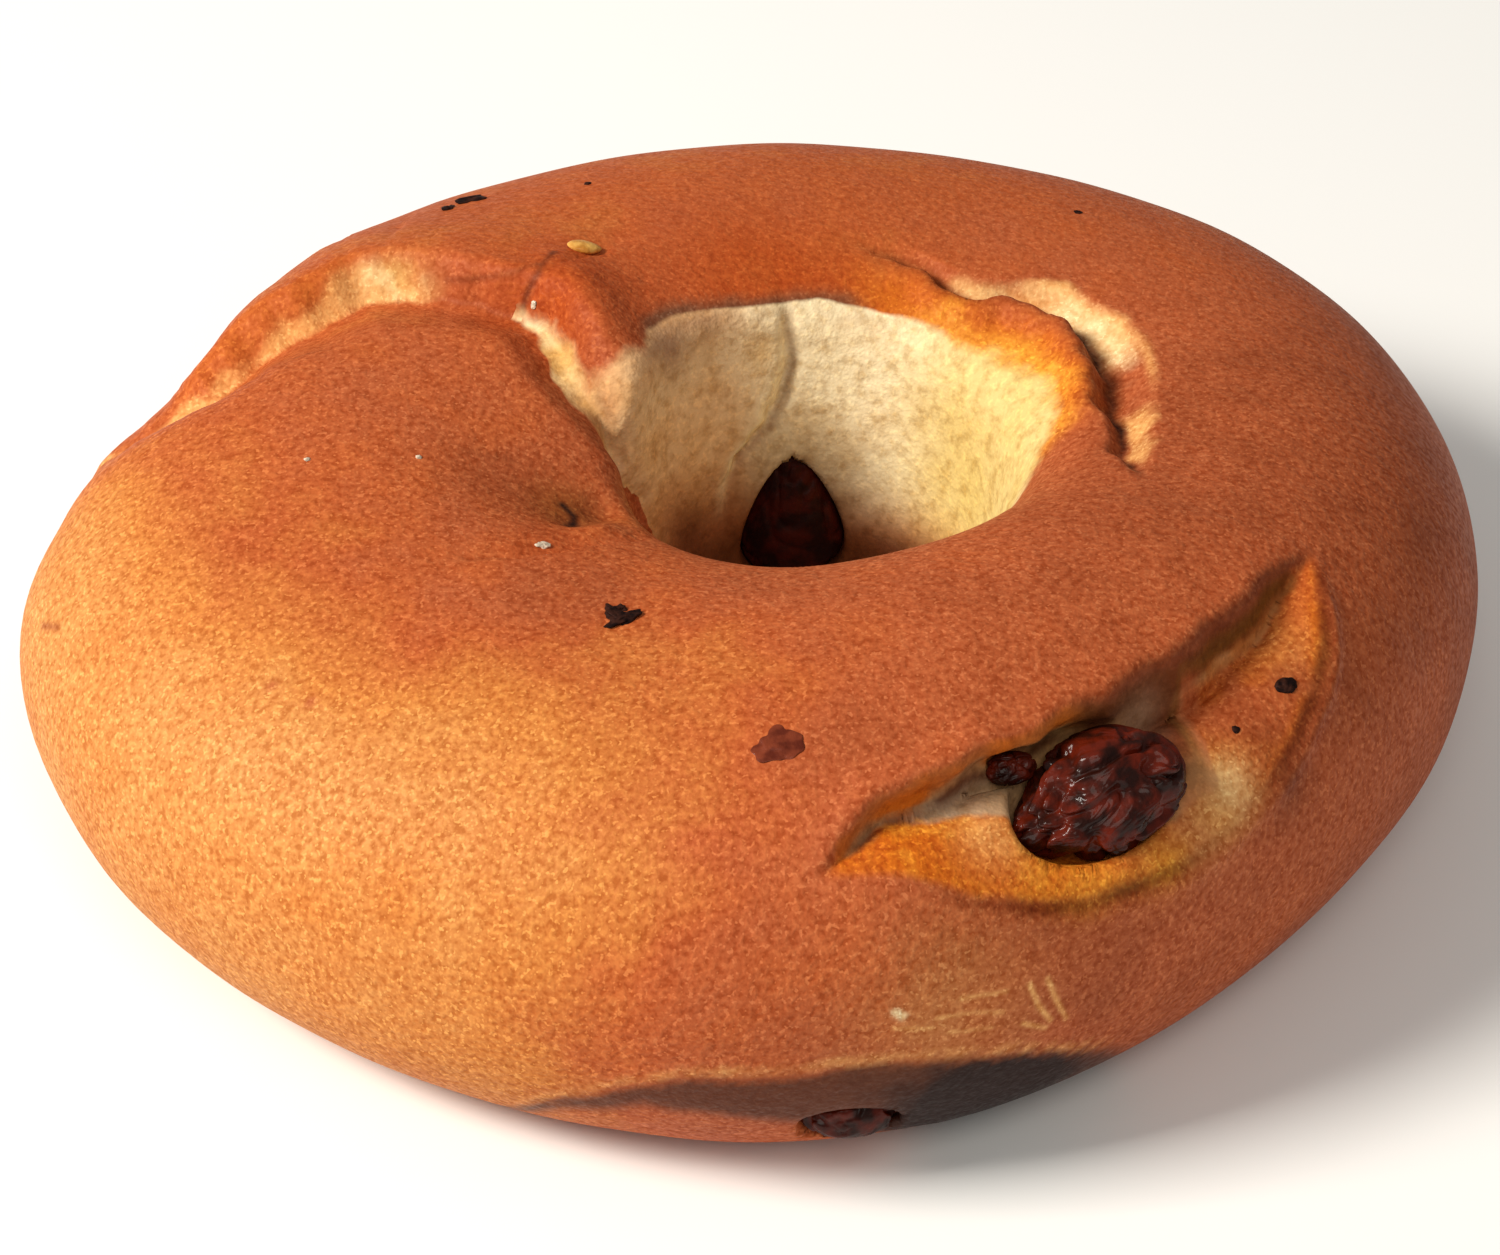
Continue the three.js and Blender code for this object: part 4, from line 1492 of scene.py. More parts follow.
@dataclass
class CrustPainter:
    """Works out crust and crumb colours for every point of the bread."""

    dough: Dough
    points: Points
    plain_bake: float = 0.6
    plain_weight: float = 0.25
    mm_per_degree: float = 0.31
    fine_mm: float = 4.5
    broad_mm: float = 13.0

    def __post_init__(self) -> None:
        """Find where every point lies."""
        self.places = RingPlaces(self.dough.rope, self.points)
        self.height = self.dough.body(self.points)
        grain = Grain(11)
        self.fine = grain.layered(self.points, self.fine_mm)
        self.broad = grain.layered(self.points + 40, self.broad_mm)

    def build(self) -> dict[str, Points]:
        """Work out everything the crust's finish needs.

        Returns:
            Colours and shares by name.
        """
        past, soft = self._past_rim()
        on = Layers(self._baked(), self._hole_colours(past), past / soft)
        self._gild_rim(on, past)
        self._paint_join(on)
        self._paint_crack(on)
        self._paint_split(on)
        juice_and_shade = self._paint_base(on)
        coat = Coat(on.crust)
        for stroke in STROKES:
            share = bell(stroke.away(self.dough, self.points) / stroke.width) * stroke.strength
            coat.lay(stroke.tone, share * (1 + 0.4 * self.fine))
        pale = rise((coat.colour[:, 1] - 0.14) / 0.3)
        back = rise(self.points[:, 1] / 30)
        return {
            "crust": coat.colour / np.array(CrustFinish.grain_mean),
            "crumb": on.crumb,
            "torn": on.torn,
            "grain": (1 - 0.6 * juice_and_shade) * (1 - 0.4 * pale) * (1 - 0.35 * back),
            "gloss": juice_and_shade,
        }

    def _near(self, feature: Feature) -> tuple[Points, Nearness]:
        """Points that a feature acts on, and where they lie beside its line."""
        m = np.flatnonzero(feature.line.share(self.points, self.height) > 0)
        return m, feature.line.locate(self.points[m])

    def _dab(self, coat: Coat, spots: tuple[Spot, ...], m: Points, share: Points) -> None:
        """Lay soft spots of colour.

        Args:
            coat: The colours of some points.
            spots: The spots.
            m: Which points they are.
            share: How far each point takes the spots.
        """
        for spot in spots:
            near = self.places.near(np.array(spot.at), spot.radius)[m] * spot.strength
            coat.lay(spot.tone, near * share)

    def _baked(self) -> Points:
        """Crust colours from the bake of each part.

        Returns:
            Linear colours.
        """
        weight = np.full(len(self.points), self.plain_weight)
        total = weight * self.plain_bake
        for patch in BAKED:
            spot = self.dough.rope.spot(patch.ring, patch.rope)
            share = self.places.near(spot, patch.radius) * patch.weight
            total, weight = total + share * patch.bake, weight + share
        bake = total / weight + 0.05 * self.fine + 0.06 * self.broad
        levels = [level for level, _ in BAKE_STEPS]
        tones = np.array([tone.light() for _, tone in BAKE_STEPS])
        coat = Coat(np.stack([np.interp(bake, levels, tones[:, k]) for k in range(3)], -1))
        for tint in TINTS:
            spot = self.dough.rope.spot(tint.ring, tint.rope)
            share = self.places.near(spot, tint.radius) * tint.strength
            coat.lay(tint.tone, share * (1 + 0.3 * self.fine))
        return coat.colour

    def _past_rim(self) -> tuple[Points, Points]:
        """How far each point lies past the hole's rim, and how soft the rim is there.

        Returns:
            Millimetres past the rim, positive on the crumb, and the softness.
        """
        angle, rim, soft = np.array(HOLE_RIM).T
        rim = np.interp(self.places.ring, angle, rim, period=360)
        soft = np.interp(self.places.ring, angle, soft, period=360)
        return (self.places.turn - rim) * self.mm_per_degree, soft

    def _hole_colours(self, past: Points) -> Points:
        """Crumb colours down the hole's wall, with painted shade deeper down, on the left side,
        under the back rim and round the raisin, and a painted shadow and highlight at the crease.

        Args:
            past: Millimetres past the rim.

        Returns:
            Linear colours.
        """
        z, between, fine = self.points[:, 2], self.places.between, self.fine
        left = between(118, 185, 22)
        coat = Coat.plain(Tone.CREAM, len(past))
        # Painted shade: the left side, which the left lobe shades, is laid darker and warmer.
        coat.lay(Tone.STRAW, 0.12 + 0.4 * fine + 0.1 * left)
        coat.lay(Tone.PALE, left * 0.35)
        coat.lay(Tone.AMBER, left * bell((past - 0.3) / 1.8) * 0.4)
        coat.lay(Tone.HONEY, between(5, 45, 30) * 0.75)
        coat.lay(Tone.PALE, left * rise((29 - z) / 5) * 0.4)
        # Painted shade, darker further down the wall and reaching higher on the left.
        for tone, top, left_top, fade, strength in WALL_SHADES:
            coat.lay(tone, rise((top + left_top * left - z) / fade) * strength)
        # Painted shade: a grey fringe just under the back rim, where the crust overhangs the wall.
        edge = between(70, 140, 10) * bell((past - 0.7 - 0.5 * fine) / 1.0)
        coat.lay(Tone.SHADE_GREY, edge * (0.3 + 0.5 * fine))
        # Most hole spots are painted shade: under the flap and the rim, down the left wall and
        # round the raisin.
        self._dab(coat, HOLE_SPOTS, np.arange(len(past)), 1 + 0.4 * fine)
        m, near = self._near(self.dough.crease)
        t = self.dough.crease.offset(near)
        deep = np.clip(near.row[:, 0] / 0.7, 0, 1) * bell(near.over / 1.5)
        crease = Coat(coat.colour[m])
        # Painted shadow in the crease, and a painted highlight on the lit edge of its fold.
        crease.lay(Tone.RUST, bell((t + 0.45) / 0.38) * deep * 0.45)
        crease.lay(Tone.CREAM, bell((t - 0.6) / 0.6) * deep * 0.95)
        coat.colour[m] = crease.colour
        return coat.colour

    def _gild_rim(self, on: Layers, past: Points) -> None:
        """Gild the crust beside the hole on the right, brown the front rim, and paint shade along
        the back rim.

        Args:
            on: The colours so far.
            past: Millimetres past the rim.
        """
        between, ragged, coat = self.places.between, 1.2 * self.fine, Coat(on.crust)
        coat.lay(Tone.ORANGE, between(18, 70, 16) * rise((past + 6 + ragged) / 4.5) * 0.85)
        inner = between(14, 58, 16) * rise((past + 3 + ragged) / 3.5)
        coat.lay(Tone.YELLOW, inner * (0.8 + 0.4 * self.fine))
        coat.lay(Tone.AMBER, between(-170, -20, 20) * rise((past + 2) / 3) * 0.6)
        # Painted shade: dark grey-brown on the crust edge along the back rim, where it overhangs
        # the wall.
        back = between(82, 132, 10) * rise((past + 1.2 + 0.6 * self.fine) / 1.2)
        coat.lay(Tone.UMBER, back * 0.8)
        on.crust = coat.colour

    def _paint_join(self, on: Layers) -> None:
        """Paint the pale strip of the join, painted shade in its crease, and the crumb by the
        hole.

        Args:
            on: The colours so far.
        """
        m, near = self._near(self.dough.join)
        t, turn, fine = self.dough.join.offset(near), self.places.turn[m], self.fine[m]
        fade, coat = bell(near.over / 2), Coat(on.crust[m])
        reach = np.interp(turn, *JOIN_STRIP)
        strip = rise((t + 0.3) / 0.5) * rise((reach - t + 0.9 * fine) / 1.0) * fade
        strip = strip * rise((82 - turn) / 14) * rise((turn - 2) / 16)
        coat.lay(Tone.PALE, strip * (0.9 + 0.4 * fine))
        bright = bell((turn - 67) / 6) * bell((t - 1.0) / 0.9) * fade
        coat.lay(Tone.STRAW, bright * (0.75 + 0.6 * fine))
        coat.lay(Tone.CREAM, bright * (0.1 + 1.1 * fine))
        glow = bell((t - 1.8) / 1.6) * rise((turn - 20) / 12) * rise((66 - turn) / 12) * fade
        coat.lay(Tone.ORANGE, glow * 0.4)
        # Painted shade in the join's crease.
        dark = bell((t + 0.1) / 0.35) * np.clip(near.row[:, 0] / 2.4, 0, 1) * fade
        coat.lay(Tone.BROWN, dark * 0.6 * rise((turn - 74) / 10))
        on.crust[m] = coat.colour

        wide = np.interp(turn, *JOIN_CRUMB)
        inside = np.minimum(-t + 0.25, wide + t) * fade - (1 - fade) * 3
        inside = np.where(turn > JOIN_CRUMB[0][0], inside, -3)
        pale = Coat.plain(Tone.STRAW, len(m))
        pale.lay(Tone.CREAM, bell((turn - 108) / 9) * 0.6 + 0.1 + 0.5 * fine)
        pale.lay(Tone.FAWN, rise((turn - 124) / 10) * (0.6 + 0.3 * fine))
        crumb = Coat(on.crumb[m])
        side = np.clip(inside * 2 + 1.2, 0, 1)[:, None] * rise((150 - turn) / 14)[:, None]
        crumb.blend(pale.colour, side)
        on.crumb[m] = crumb.colour
        torn = np.maximum(on.torn[m], inside * 1.2)
        lobe = rise((-t - wide) / 0.8) * rise((turn - 112) / 8) * fade
        on.torn[m] = torn * (1 - lobe) - 2 * lobe

    def _paint_crack(self, on: Layers) -> None:
        """Paint the crack's pale torn side, the painted shadow under its ridge, and the ridge.

        Args:
            on: The colours so far.
        """
        crack = self.dough.crack
        m, near = self._near(crack)
        t, wide = crack.offset(near)
        along, fine, coat = near.along / crack.line.length, self.fine[m], Coat(on.crust[m])
        deep = np.clip(near.row[:, 0] / 1.6, 0, 1) * bell(near.over / 1.0)
        torn_side = rise((t - 0.2) / 0.9) * rise((wide * 1.1 - t + 0.9 * fine) / 1.6) * deep
        pale = torn_side * (rise((0.6 - along) / 0.1) + rise((along - 0.72) / 0.05))
        pale = pale * rise((along - 0.1) / 0.12)
        coat.lay(Tone.PALE, pale * (0.85 + 0.4 * fine))
        core = bell((t / wide - 0.45) / 0.35) * bell((along - 0.42) / 0.2) * deep
        coat.lay(Tone.CREAM, core * (0.15 + 0.6 * fine))
        shadow = bell((t - 0.8) / 0.8) * bell((along - 0.62) / 0.06) * deep
        coat.lay(Tone.BROWN, shadow * 0.7)
        line = bell((t - wide * 0.95) / 0.4) * bell((along - 0.6) / 0.07)
        coat.lay(Tone.PALE, line * 0.6)
        coat.lay(Tone.BROWN, bell((t + 1.0) / 0.9) * deep * 0.45)
        # Painted shadow: the dark line where the ridge overhangs the crack.
        coat.lay(Tone.BURNT, bell(t / 0.42) * deep * (0.8 + 0.4 * fine))
        on.crust[m] = coat.colour

    def _paint_split(self, on: Layers) -> None:
        """Paint the open split.

        Args:
            on: The colours so far.
        """
        split = self.dough.split
        m, near = self._near(split)
        s, fine = split.section(near), self.fine[m]
        along = near.along / split.line.length
        open_share = rise((s.wide - 0.2) / 1.2) * bell(near.over)
        border = np.interp(along, *SPLIT_BORDER) + 0.5 * fine
        inside = np.minimum(s.wide - s.across, s.across - border)
        inside = inside * open_share - (1 - open_share) * 3
        cut = self._cut_coat(s, along, fine, s.across - border)
        self._dab(cut, SPLIT_SPOTS, m, 1 + 0.3 * fine)
        side = np.clip((s.wide + 2 - np.abs(s.across)) * 1.5, 0, 1)
        crumb = Coat(on.crumb[m])
        crumb.blend(cut.colour, (side * np.clip(3 - near.over, 0, 1))[:, None])
        on.crumb[m] = crumb.colour
        on.torn[m] = np.maximum(on.torn[m], inside * 1.2)
        ledge = Coat(on.crust[m])
        self._lay_ledge(ledge, s, along, fine, open_share)
        self._dab(ledge, LEDGE_SPOTS, m, open_share * (1 + 0.4 * fine))
        on.crust[m] = ledge.colour

    @staticmethod
    def _lay_ledge(
        coat: Coat, s: SplitSection, along: Points, fine: Points, open_share: Points
    ) -> None:
        """Colour the crust of the split's lower ledge and of its two lips, with painted shade by
        the lips and a painted highlight on the lower lip's crest.

        Args:
            coat: Crust colours.
            s: The split's section at each point.
            along: Places along the split from 0 to 1.
            fine: Fine unevenness.
            open_share: How far the split is open at each point.
        """
        from_foot = s.across + s.wide
        ledge = rise((from_foot + 0.2) / 1.0) * rise((s.wide - s.across) / 1.0)
        ledge = ledge * open_share
        left = rise((0.5 - along) / 0.14)
        coat.lay(Tone.ORANGE, ledge * left * (0.95 + 0.2 * fine))
        coat.lay(Tone.YELLOW, ledge * left * rise(fine * 2.4 - 0.2) * 0.4)
        coat.lay(Tone.CHESTNUT, ledge * (1 - left) * (0.7 + 0.4 * fine))
        coat.lay(Tone.ORANGE, ledge * (1 - left) * rise(fine * 2 + 0.1) * 0.35)
        gold = bell((from_foot - 0.8) / 0.9) * bell((along - 0.46) / 0.14) * open_share
        coat.lay(Tone.YELLOW, gold * (0.5 + 0.5 * fine))
        # Brown at the upper lip's edge, darker on the right: partly the cut edge's own colour,
        # partly painted shade.
        lip = bell((s.across - s.wide) / 0.5) * open_share
        coat.lay(Tone.BROWN, lip * (0.6 - 0.35 * left))
        coat.lay(Tone.DARK, lip * rise((along - 0.5) / 0.2) * 0.5)
        # Dark red-brown on the lower lip's outer side, less where it faces the light: partly its
        # own colour, partly painted shade.
        rim = bell((from_foot + 0.35) / 0.6) * open_share
        rim = rim * (1 - 0.75 * bell((along - 0.6) / 0.07)) * rise((along - 0.12) / 0.2)
        coat.lay(Tone.RUST, rim * (0.9 + 0.3 * fine))
        # Painted highlight along the lower lip's crest.
        crest = bell((from_foot - 0.35) / 0.4) * rise((along - 0.5) / 0.1) * open_share
        coat.lay(Tone.ORANGE, crest * (0.5 + 0.5 * fine))
        edge = bell((along - 0.42) / 0.07) + 0.8 * bell((along - 0.78) / 0.09)
        edge = bell((from_foot + 0.1) / 0.4) * edge * open_share
        coat.lay(Tone.BURNT, edge * (0.6 + 0.5 * fine))

    @staticmethod
    def _cut_coat(s: SplitSection, along: Points, fine: Points, past: Points) -> Coat:
        """Colours of the torn crumb inside the split, with painted shade under the upper lip and
        on the right part of the upper wall.

        Args:
            s: The split's section at each point.
            along: Places along the split from 0 to 1.
            fine: Fine unevenness.
            past: Millimetres up from the crumb's lower border.

        Returns:
            The colours.
        """
        coat = Coat.plain(Tone.FAWN, len(along))
        coat.lay(Tone.STRAW, bell((along - 0.4) / 0.16) * 0.4 + 0.3 * fine)
        upper = s.wide - s.across
        left = rise((0.5 - along) / 0.1)
        # Painted shadow: a dark band under the upper lip.
        under = np.maximum(left, bell((along - 0.5) / 0.1))
        under = under * bell((upper - 1.8 - 0.4 * fine) / 0.5)
        roof = rise((1.3 + 1.1 * rise((along - 0.42) / 0.1) - upper + 0.5 * fine) / 0.6)
        valley = bell((along - 0.16) / 0.16) * rise((upper - 1.2) / 0.8)
        coat.lay(Tone.ASH, valley * (0.8 + 0.3 * fine))
        coat.lay(Tone.RUST, roof * (0.9 + 0.2 * fine) * (1 - 0.5 * left))
        coat.lay(Tone.ORANGE, roof * left * (0.75 + 0.4 * fine))
        coat.lay(Tone.DARK, under * 0.85)
        # Painted shade on the right part of the upper wall, which faces away from the light.
        right = rise((along - 0.5) / 0.08)
        coat.lay(Tone.OLIVE, right * rise((past - 0.5) / 0.8) * 0.85)
        coat.lay(Tone.RUST, right * rise((past - 1.6) / 1.2) * (0.7 + 0.4 * fine))
        turn = rise((along - 0.5) / 0.05) * rise((0.72 - along) / 0.05)
        coat.lay(Tone.CHESTNUT, turn * bell(past / 1.3) * 0.85)
        seam = right * bell((past - 0.2) / 0.6) * rise((along - 0.68) / 0.05)
        coat.lay(Tone.AMBER, seam * (0.6 + 0.3 * fine))
        # Brown at the upper lip's edge: partly the cut edge's own colour, partly painted shade
        # under the lip.
        coat.lay(Tone.BROWN, bell((upper - 0.1) / 0.5) * (0.8 - 0.5 * left))
        return coat

    def _paint_base(self, on: Layers) -> Points:
        """Darken the front by the base, partly with dried juice and partly with painted shade, and
        brown the underside.

        Args:
            on: The colours so far.

        Returns:
            How much of the dark band, dried juice and painted shade, there is.
        """
        coat = Coat(on.crust)
        angle, top, wide = np.array(BASE_BAND).T
        top = np.interp(self.places.ring, angle, top, left=-60, right=-60)
        wide = np.interp(self.places.ring, angle, wide)
        past = (top - self.places.turn) * 0.3 + 0.3 * self.fine
        line = bell((past + 0.3) / 0.28) * rise((top + 25) / 10)
        coat.lay(Tone.PALE, line * (0.35 + 0.3 * self.fine))
        # Painted shade and dried juice: the dark plum band along the front by the base.
        juice_and_shade = rise((past + 0.2) / 1.0) * rise((wide - past) / 1.5 + 1)
        coat.lay(Tone.PLUM, juice_and_shade * 0.9)
        black = self.places.near(np.array(BLACK_JUICE.at), BLACK_JUICE.radius)
        black = rise(black * 2.6 - 0.2 + 0.3 * self.fine) * juice_and_shade
        coat.lay(BLACK_JUICE.tone, black * BLACK_JUICE.strength)
        under = rise((1.0 - self.points[:, 2]) / 0.8)
        coat.lay(Tone.BROWN, under * 0.6)
        coat.lay(Tone.AMBER, under * rise(self.broad * 2) * 0.4)
        on.crust = coat.colour
        return juice_and_shade


# ---- finishes ----
class Shader:
    """A material's nodes, with short ways to add and join them."""

    def __init__(self, name: str) -> None:
        """Start a material with one principled shader.

        Args:
            name: The material's name.
        """
        self.material = bpy.data.materials.new(name)
        self.material.use_nodes = True
        self.tree = self.material.node_tree
        self.surface = self.tree.nodes["Principled BSDF"]

    def add(
        self,
        kind: str,
        settings: dict[str, str] | None = None,
        inputs: dict[int | str, Feed] | None = None,
    ) -> bpy.types.Node:
        """Add a node.

        Args:
            kind: Its type in Blender.
            settings: Properties to set.
            inputs: Sockets to set or join, by name or number.

        Returns:
            The node.
        """
        node = self.tree.nodes.new(kind)
        for name, value in (settings or {}).items():
            setattr(node, name, value)
        for name, value in (inputs or {}).items():
            self.feed(node.inputs[name], value)
        return node

    def feed(self, socket: Socket, value: Feed) -> None:
        """Set a socket, or join another node's socket to it.

        Args:
            socket: The input socket.
            value: A number, a colour or an output socket.
        """
        if isinstance(value, bpy.types.NodeSocket):
            self.tree.links.new(value, socket)
        else:
            socket.default_value = value

    def give(self, name: str, value: Feed) -> None:
        """Set or join one of the principled shader's own sockets."""
        self.feed(self.surface.inputs[name], value)

    def math(self, operation: str, first: Feed, second: Feed) -> Socket:
        """Add a sum, by its operation's name in Blender."""
        settings = {"operation": operation}
        return self.add("ShaderNodeMath", settings, {0: first, 1: second}).outputs[0]

    def mix(self, share: Feed, first: Feed, second: Feed, blend: str = "MIX") -> Socket:
        """Mix two colours.

        Args:
            share: How much of the second.
            first: The first colour.
            second: The second colour.
            blend: How they mix.

        Returns:
            The mixed colour's socket.
        """
        settings = {"data_type": "RGBA", "blend_type": blend}
        inputs = {0: share, 6: first, 7: second}
        return self.add("ShaderNodeMix", settings, inputs).outputs[2]

    def times(self, colour: Socket, by: Colour) -> Socket:
        """A colour multiplied by another."""
        return self.mix(1.0, colour, (*by, 1), "MULTIPLY")

    def fit(
        self, value: Feed, low: float, high: float, to_low: float = 0.0, to_high: float = 1.0
    ) -> Socket:
        """Stretch a range of numbers to another range, with soft ends.

        Args:
            value: The number's socket.
            low: Lower end of the range.
            high: Upper end of the range.
            to_low: What the lower end becomes.
            to_high: What the upper end becomes.

        Returns:
            The result's socket.
        """
        settings = {"interpolation_type": "SMOOTHSTEP"}
        inputs = {0: value, 1: low, 2: high, 3: to_low, 4: to_high}
        return self.add("ShaderNodeMapRange", settings, inputs).outputs[0]

    def noise(self, size_mm: float, detail: float = 2.0, rough: float = 0.5) -> Socket:
        """Random unevenness of a size.

        Args:
            size_mm: Its size in millimetres.
            detail: How many finer layers.
            rough: Strength of the finer layers.

        Returns:
            The value's socket.
        """
        place = self.add("ShaderNodeTexCoord").outputs["Object"]
        scale = MM_PER_M / size_mm
        inputs = {"Scale": scale, "Detail": detail, "Roughness": rough, "Vector": place}
        return self.add("ShaderNodeTexNoise", None, inputs).outputs[0]

    def stored(self, name: str, part: str = "Fac") -> Socket:
        """A number or colour stored on the mesh."""
        return self.add("ShaderNodeAttribute", {"attribute_name": name}).outputs[part]

    def bump(self, height: Socket, depth_mm: float, under: Socket | None = None) -> Socket:
        """Small relief.

        Args:
            height: Height from 0 to 1.
            depth_mm: Its depth in millimetres.
            under: Relief that it is added to.

        Returns:
            The normal's socket.
        """
        inputs = {"Height": height, "Distance": depth_mm / MM_PER_M}
        if under is not None:
            inputs["Normal"] = under
        return self.add("ShaderNodeBump", None, inputs).outputs[0]


@dataclass(frozen=True)
class CrustFinish:
    """Baked crust with fine bright grain, and soft crumb where it is torn."""

    grain_mm: float = 0.5
    glint_mm: float = 0.36
    pore_mm: float = 1.5
    mottle_mm: float = 3.2
    crumb_mm: float = 1.1
    grain_depth: float = 0.08
    wrinkle_depth: float = 0.16
    roughness: float = 0.58
    grain_roughness: float = 0.08
    juice_shine: float = 0.14
    specular: float = 0.1
    torn_ragged: float = 1.6
    torn_soft: float = 0.45
    pore_tint: Colour = (0.86, 0.76, 0.66)
    grain_low: Colour = (0.79, 0.65, 0.5)
    grain_high: Colour = (1.22, 1.4, 1.5)
    glint: Colour = (1.5, 2.0, 2.4)
    crumb_hollow: Colour = (0.62, 0.5, 0.36)
    crumb_fibre: Colour = (1.25, 1.25, 1.2)
    grain_mean: ClassVar[Colour] = (0.99, 1.02, 1.14)

    def make(self) -> bpy.types.Material:
        """Build the material.

        Returns:
            The material.
        """
        s = Shader("baked_crust")
        grain = s.noise(self.grain_mm, 1.5, 0.6)
        glints = s.noise(self.glint_mm, 1.0, 0.5)
        pores = s.noise(self.pore_mm, 3.0, 0.6)
        torn = self._torn(s, s.noise(self.mottle_mm, 3.0, 0.6))
        strength = s.stored("grain")
        baked = s.stored("crust", "Color")

        def partly(share: Socket) -> Socket:
            """A share, weakened where the crust has little grain."""
            return s.math("MULTIPLY", strength, share)

        pitted = s.times(baked, self.pore_tint)
        baked = s.mix(partly(s.fit(pores, 0.42, 0.7, 0.0, 0.4)), baked, pitted)
        low, high = s.times(baked, self.grain_low), s.times(baked, self.grain_high)
        bright = s.times(baked, self.glint)
        crust = s.mix(partly(s.fit(grain, 0.5, 0.32)), baked, low)
        crust = s.mix(partly(s.fit(grain, 0.5, 0.68, 0.0, 0.9)), crust, high)
        crust = s.mix(partly(s.fit(glints, 0.58, 0.7, 0.0, 0.7)), crust, bright)
        s.give("Base Color", s.mix(torn, crust, self._crumb(s, grain)))
        shine = s.math("MULTIPLY", s.stored("gloss"), self.juice_shine)
        uneven = s.fit(grain, 0.3, 0.7, self.grain_roughness, -self.grain_roughness)
        rough = s.math("ADD", self.roughness, uneven)
        s.give("Roughness", s.math("SUBTRACT", rough, shine))
        s.give("Specular IOR Level", self.specular)
        relief = s.bump(pores, self.wrinkle_depth)
        s.give("Normal", s.bump(grain, self.grain_depth, relief))
        return s.material

    def _crumb(self, s: Shader, grain: Socket) -> Socket:
        """Crumb colours with soft darker hollows and pale fibres.

        Args:
            s: The shader.
            grain: The fine grain.

        Returns:
            The colour's socket.
        """
        crumb = s.stored("crumb", "Color")
        hollows = s.fit(s.noise(self.crumb_mm, 3.0, 0.6), 0.4, 0.75, 0.0, 0.75)
        crumb = s.mix(hollows, crumb, s.times(crumb, self.crumb_hollow))
        return s.mix(s.fit(grain, 0.48, 0.7, 0.0, 0.7), crumb, s.times(crumb, self.crumb_fibre))

    def _torn(self, s: Shader, mottle: Socket) -> Socket:
        """Where crumb shows, with a ragged edge.

        Args:
            s: The shader.
            mottle: Unevenness that makes the edge ragged.

        Returns:
            The share of crumb.
        """
        ragged = s.math("MULTIPLY", s.math("SUBTRACT", mottle, 0.5), self.torn_ragged)
        edge = s.math("ADD", s.stored("torn"), ragged)
        return s.fit(edge, -self.torn_soft, self.torn_soft)


@dataclass(frozen=True)
class GlossyFinish:
    """A finish with two colours mixed by fine unevenness, and a wet coat."""

    name: str
    light: str
    dark: str
    roughness: float
    coat: float
    size_mm: float
    relief: float = 0.05
    relief_mm: float = 0.3
    specular: float = 0.08
    coat_roughness: float = 0.1

    def make(self) -> bpy.types.Material:
        """Build the material.

        Returns:
            The material.
        """
        s = Shader(self.name)
        share = s.fit(s.noise(self.size_mm, 2.0, 0.55), 0.35, 0.65)
        s.give("Base Color", s.mix(share, (*linear(self.dark), 1), (*linear(self.light), 1)))
        s.give("Roughness", self.roughness)
        s.give("Specular IOR Level", self.specular)
        s.give("Coat Weight", self.coat)
        s.give("Coat Roughness", self.coat_roughness)
        s.give("Normal", s.bump(s.noise(self.relief_mm), self.relief))
        return s.material


WET_SKIN = GlossyFinish("raisin_skin_wet", "#581605", "#240802", 0.5, 0.24, 1.8, 0.06)
# A darker, duller copy of the raisin skin for the raisin down in the hole: its darker colour is
# painted shade.
SHADED_DULL_SKIN = GlossyFinish("raisin_skin_dull_shaded", "#3a0c03", "#1c0502", 0.65, 0.02, 1.8, 0.06)


# ---- pieces ----
@dataclass
class Piece:
    """A finished mesh and the CAD node it stands for."""

    name: str
    node: str
    slot: str
    points: Points
    faces: Points
    material: bpy.types.Material
    layers: dict[str, Points] = field(default_factory=dict)

    def place(self, low: Points, high: Points) -> bpy.types.Object:
        """Put the mesh in the scene and tie it to the frame.

        Args:
            low: Lowest corner that it may reach, in metres.
            high: Highest corner.

        Returns:
            The object.
        """
        mesh = bpy.data.meshes.new(self.name)
        corners = np.clip((self.points + HOLE_AXIS) / MM_PER_M, low, high)
        mesh.vertices.add(len(corners))
        mesh.vertices.foreach_set("co", corners.astype(np.float32).ravel())
        mesh.loops.add(self.faces.size)
        mesh.loops.foreach_set("vertex_index", self.faces.astype(np.int32).ravel())
        mesh.polygons.add(len(self.faces))
        mesh.polygons.foreach_set("loop_start", np.arange(0, self.faces.size, 3, dtype=np.int32))
        mesh.update(calc_edges=True)
        mesh.polygons.foreach_set("use_smooth", np.ones(len(self.faces), dtype=bool))
        for name, values in self.layers.items():
            self._store(mesh, name, values)
        mesh.materials.append(self.material)
        piece = bpy.data.objects.new(self.name, mesh)
        bpy.context.scene.collection.objects.link(piece)
        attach(piece, "root")
        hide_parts(self.node)
        return piece

    @staticmethod
    def _store(mesh: bpy.types.Mesh, name: str, values: Points) -> None:
        """Store colours or numbers on the mesh.

        Args:
            mesh: The mesh.
            name: What the finish calls them.
            values: One colour or number for each point.
        """
        if values.ndim == 2:
            layer = mesh.attributes.new(name, "FLOAT_COLOR", "POINT")
            full = np.hstack([np.clip(values, 0, 1), np.ones((len(values), 1))])
            layer.data.foreach_set("color", full.astype(np.float32).ravel())
        else:
            layer = mesh.attributes.new(name, "FLOAT", "POINT")
            layer.data.foreach_set("value", values.astype(np.float32).ravel())


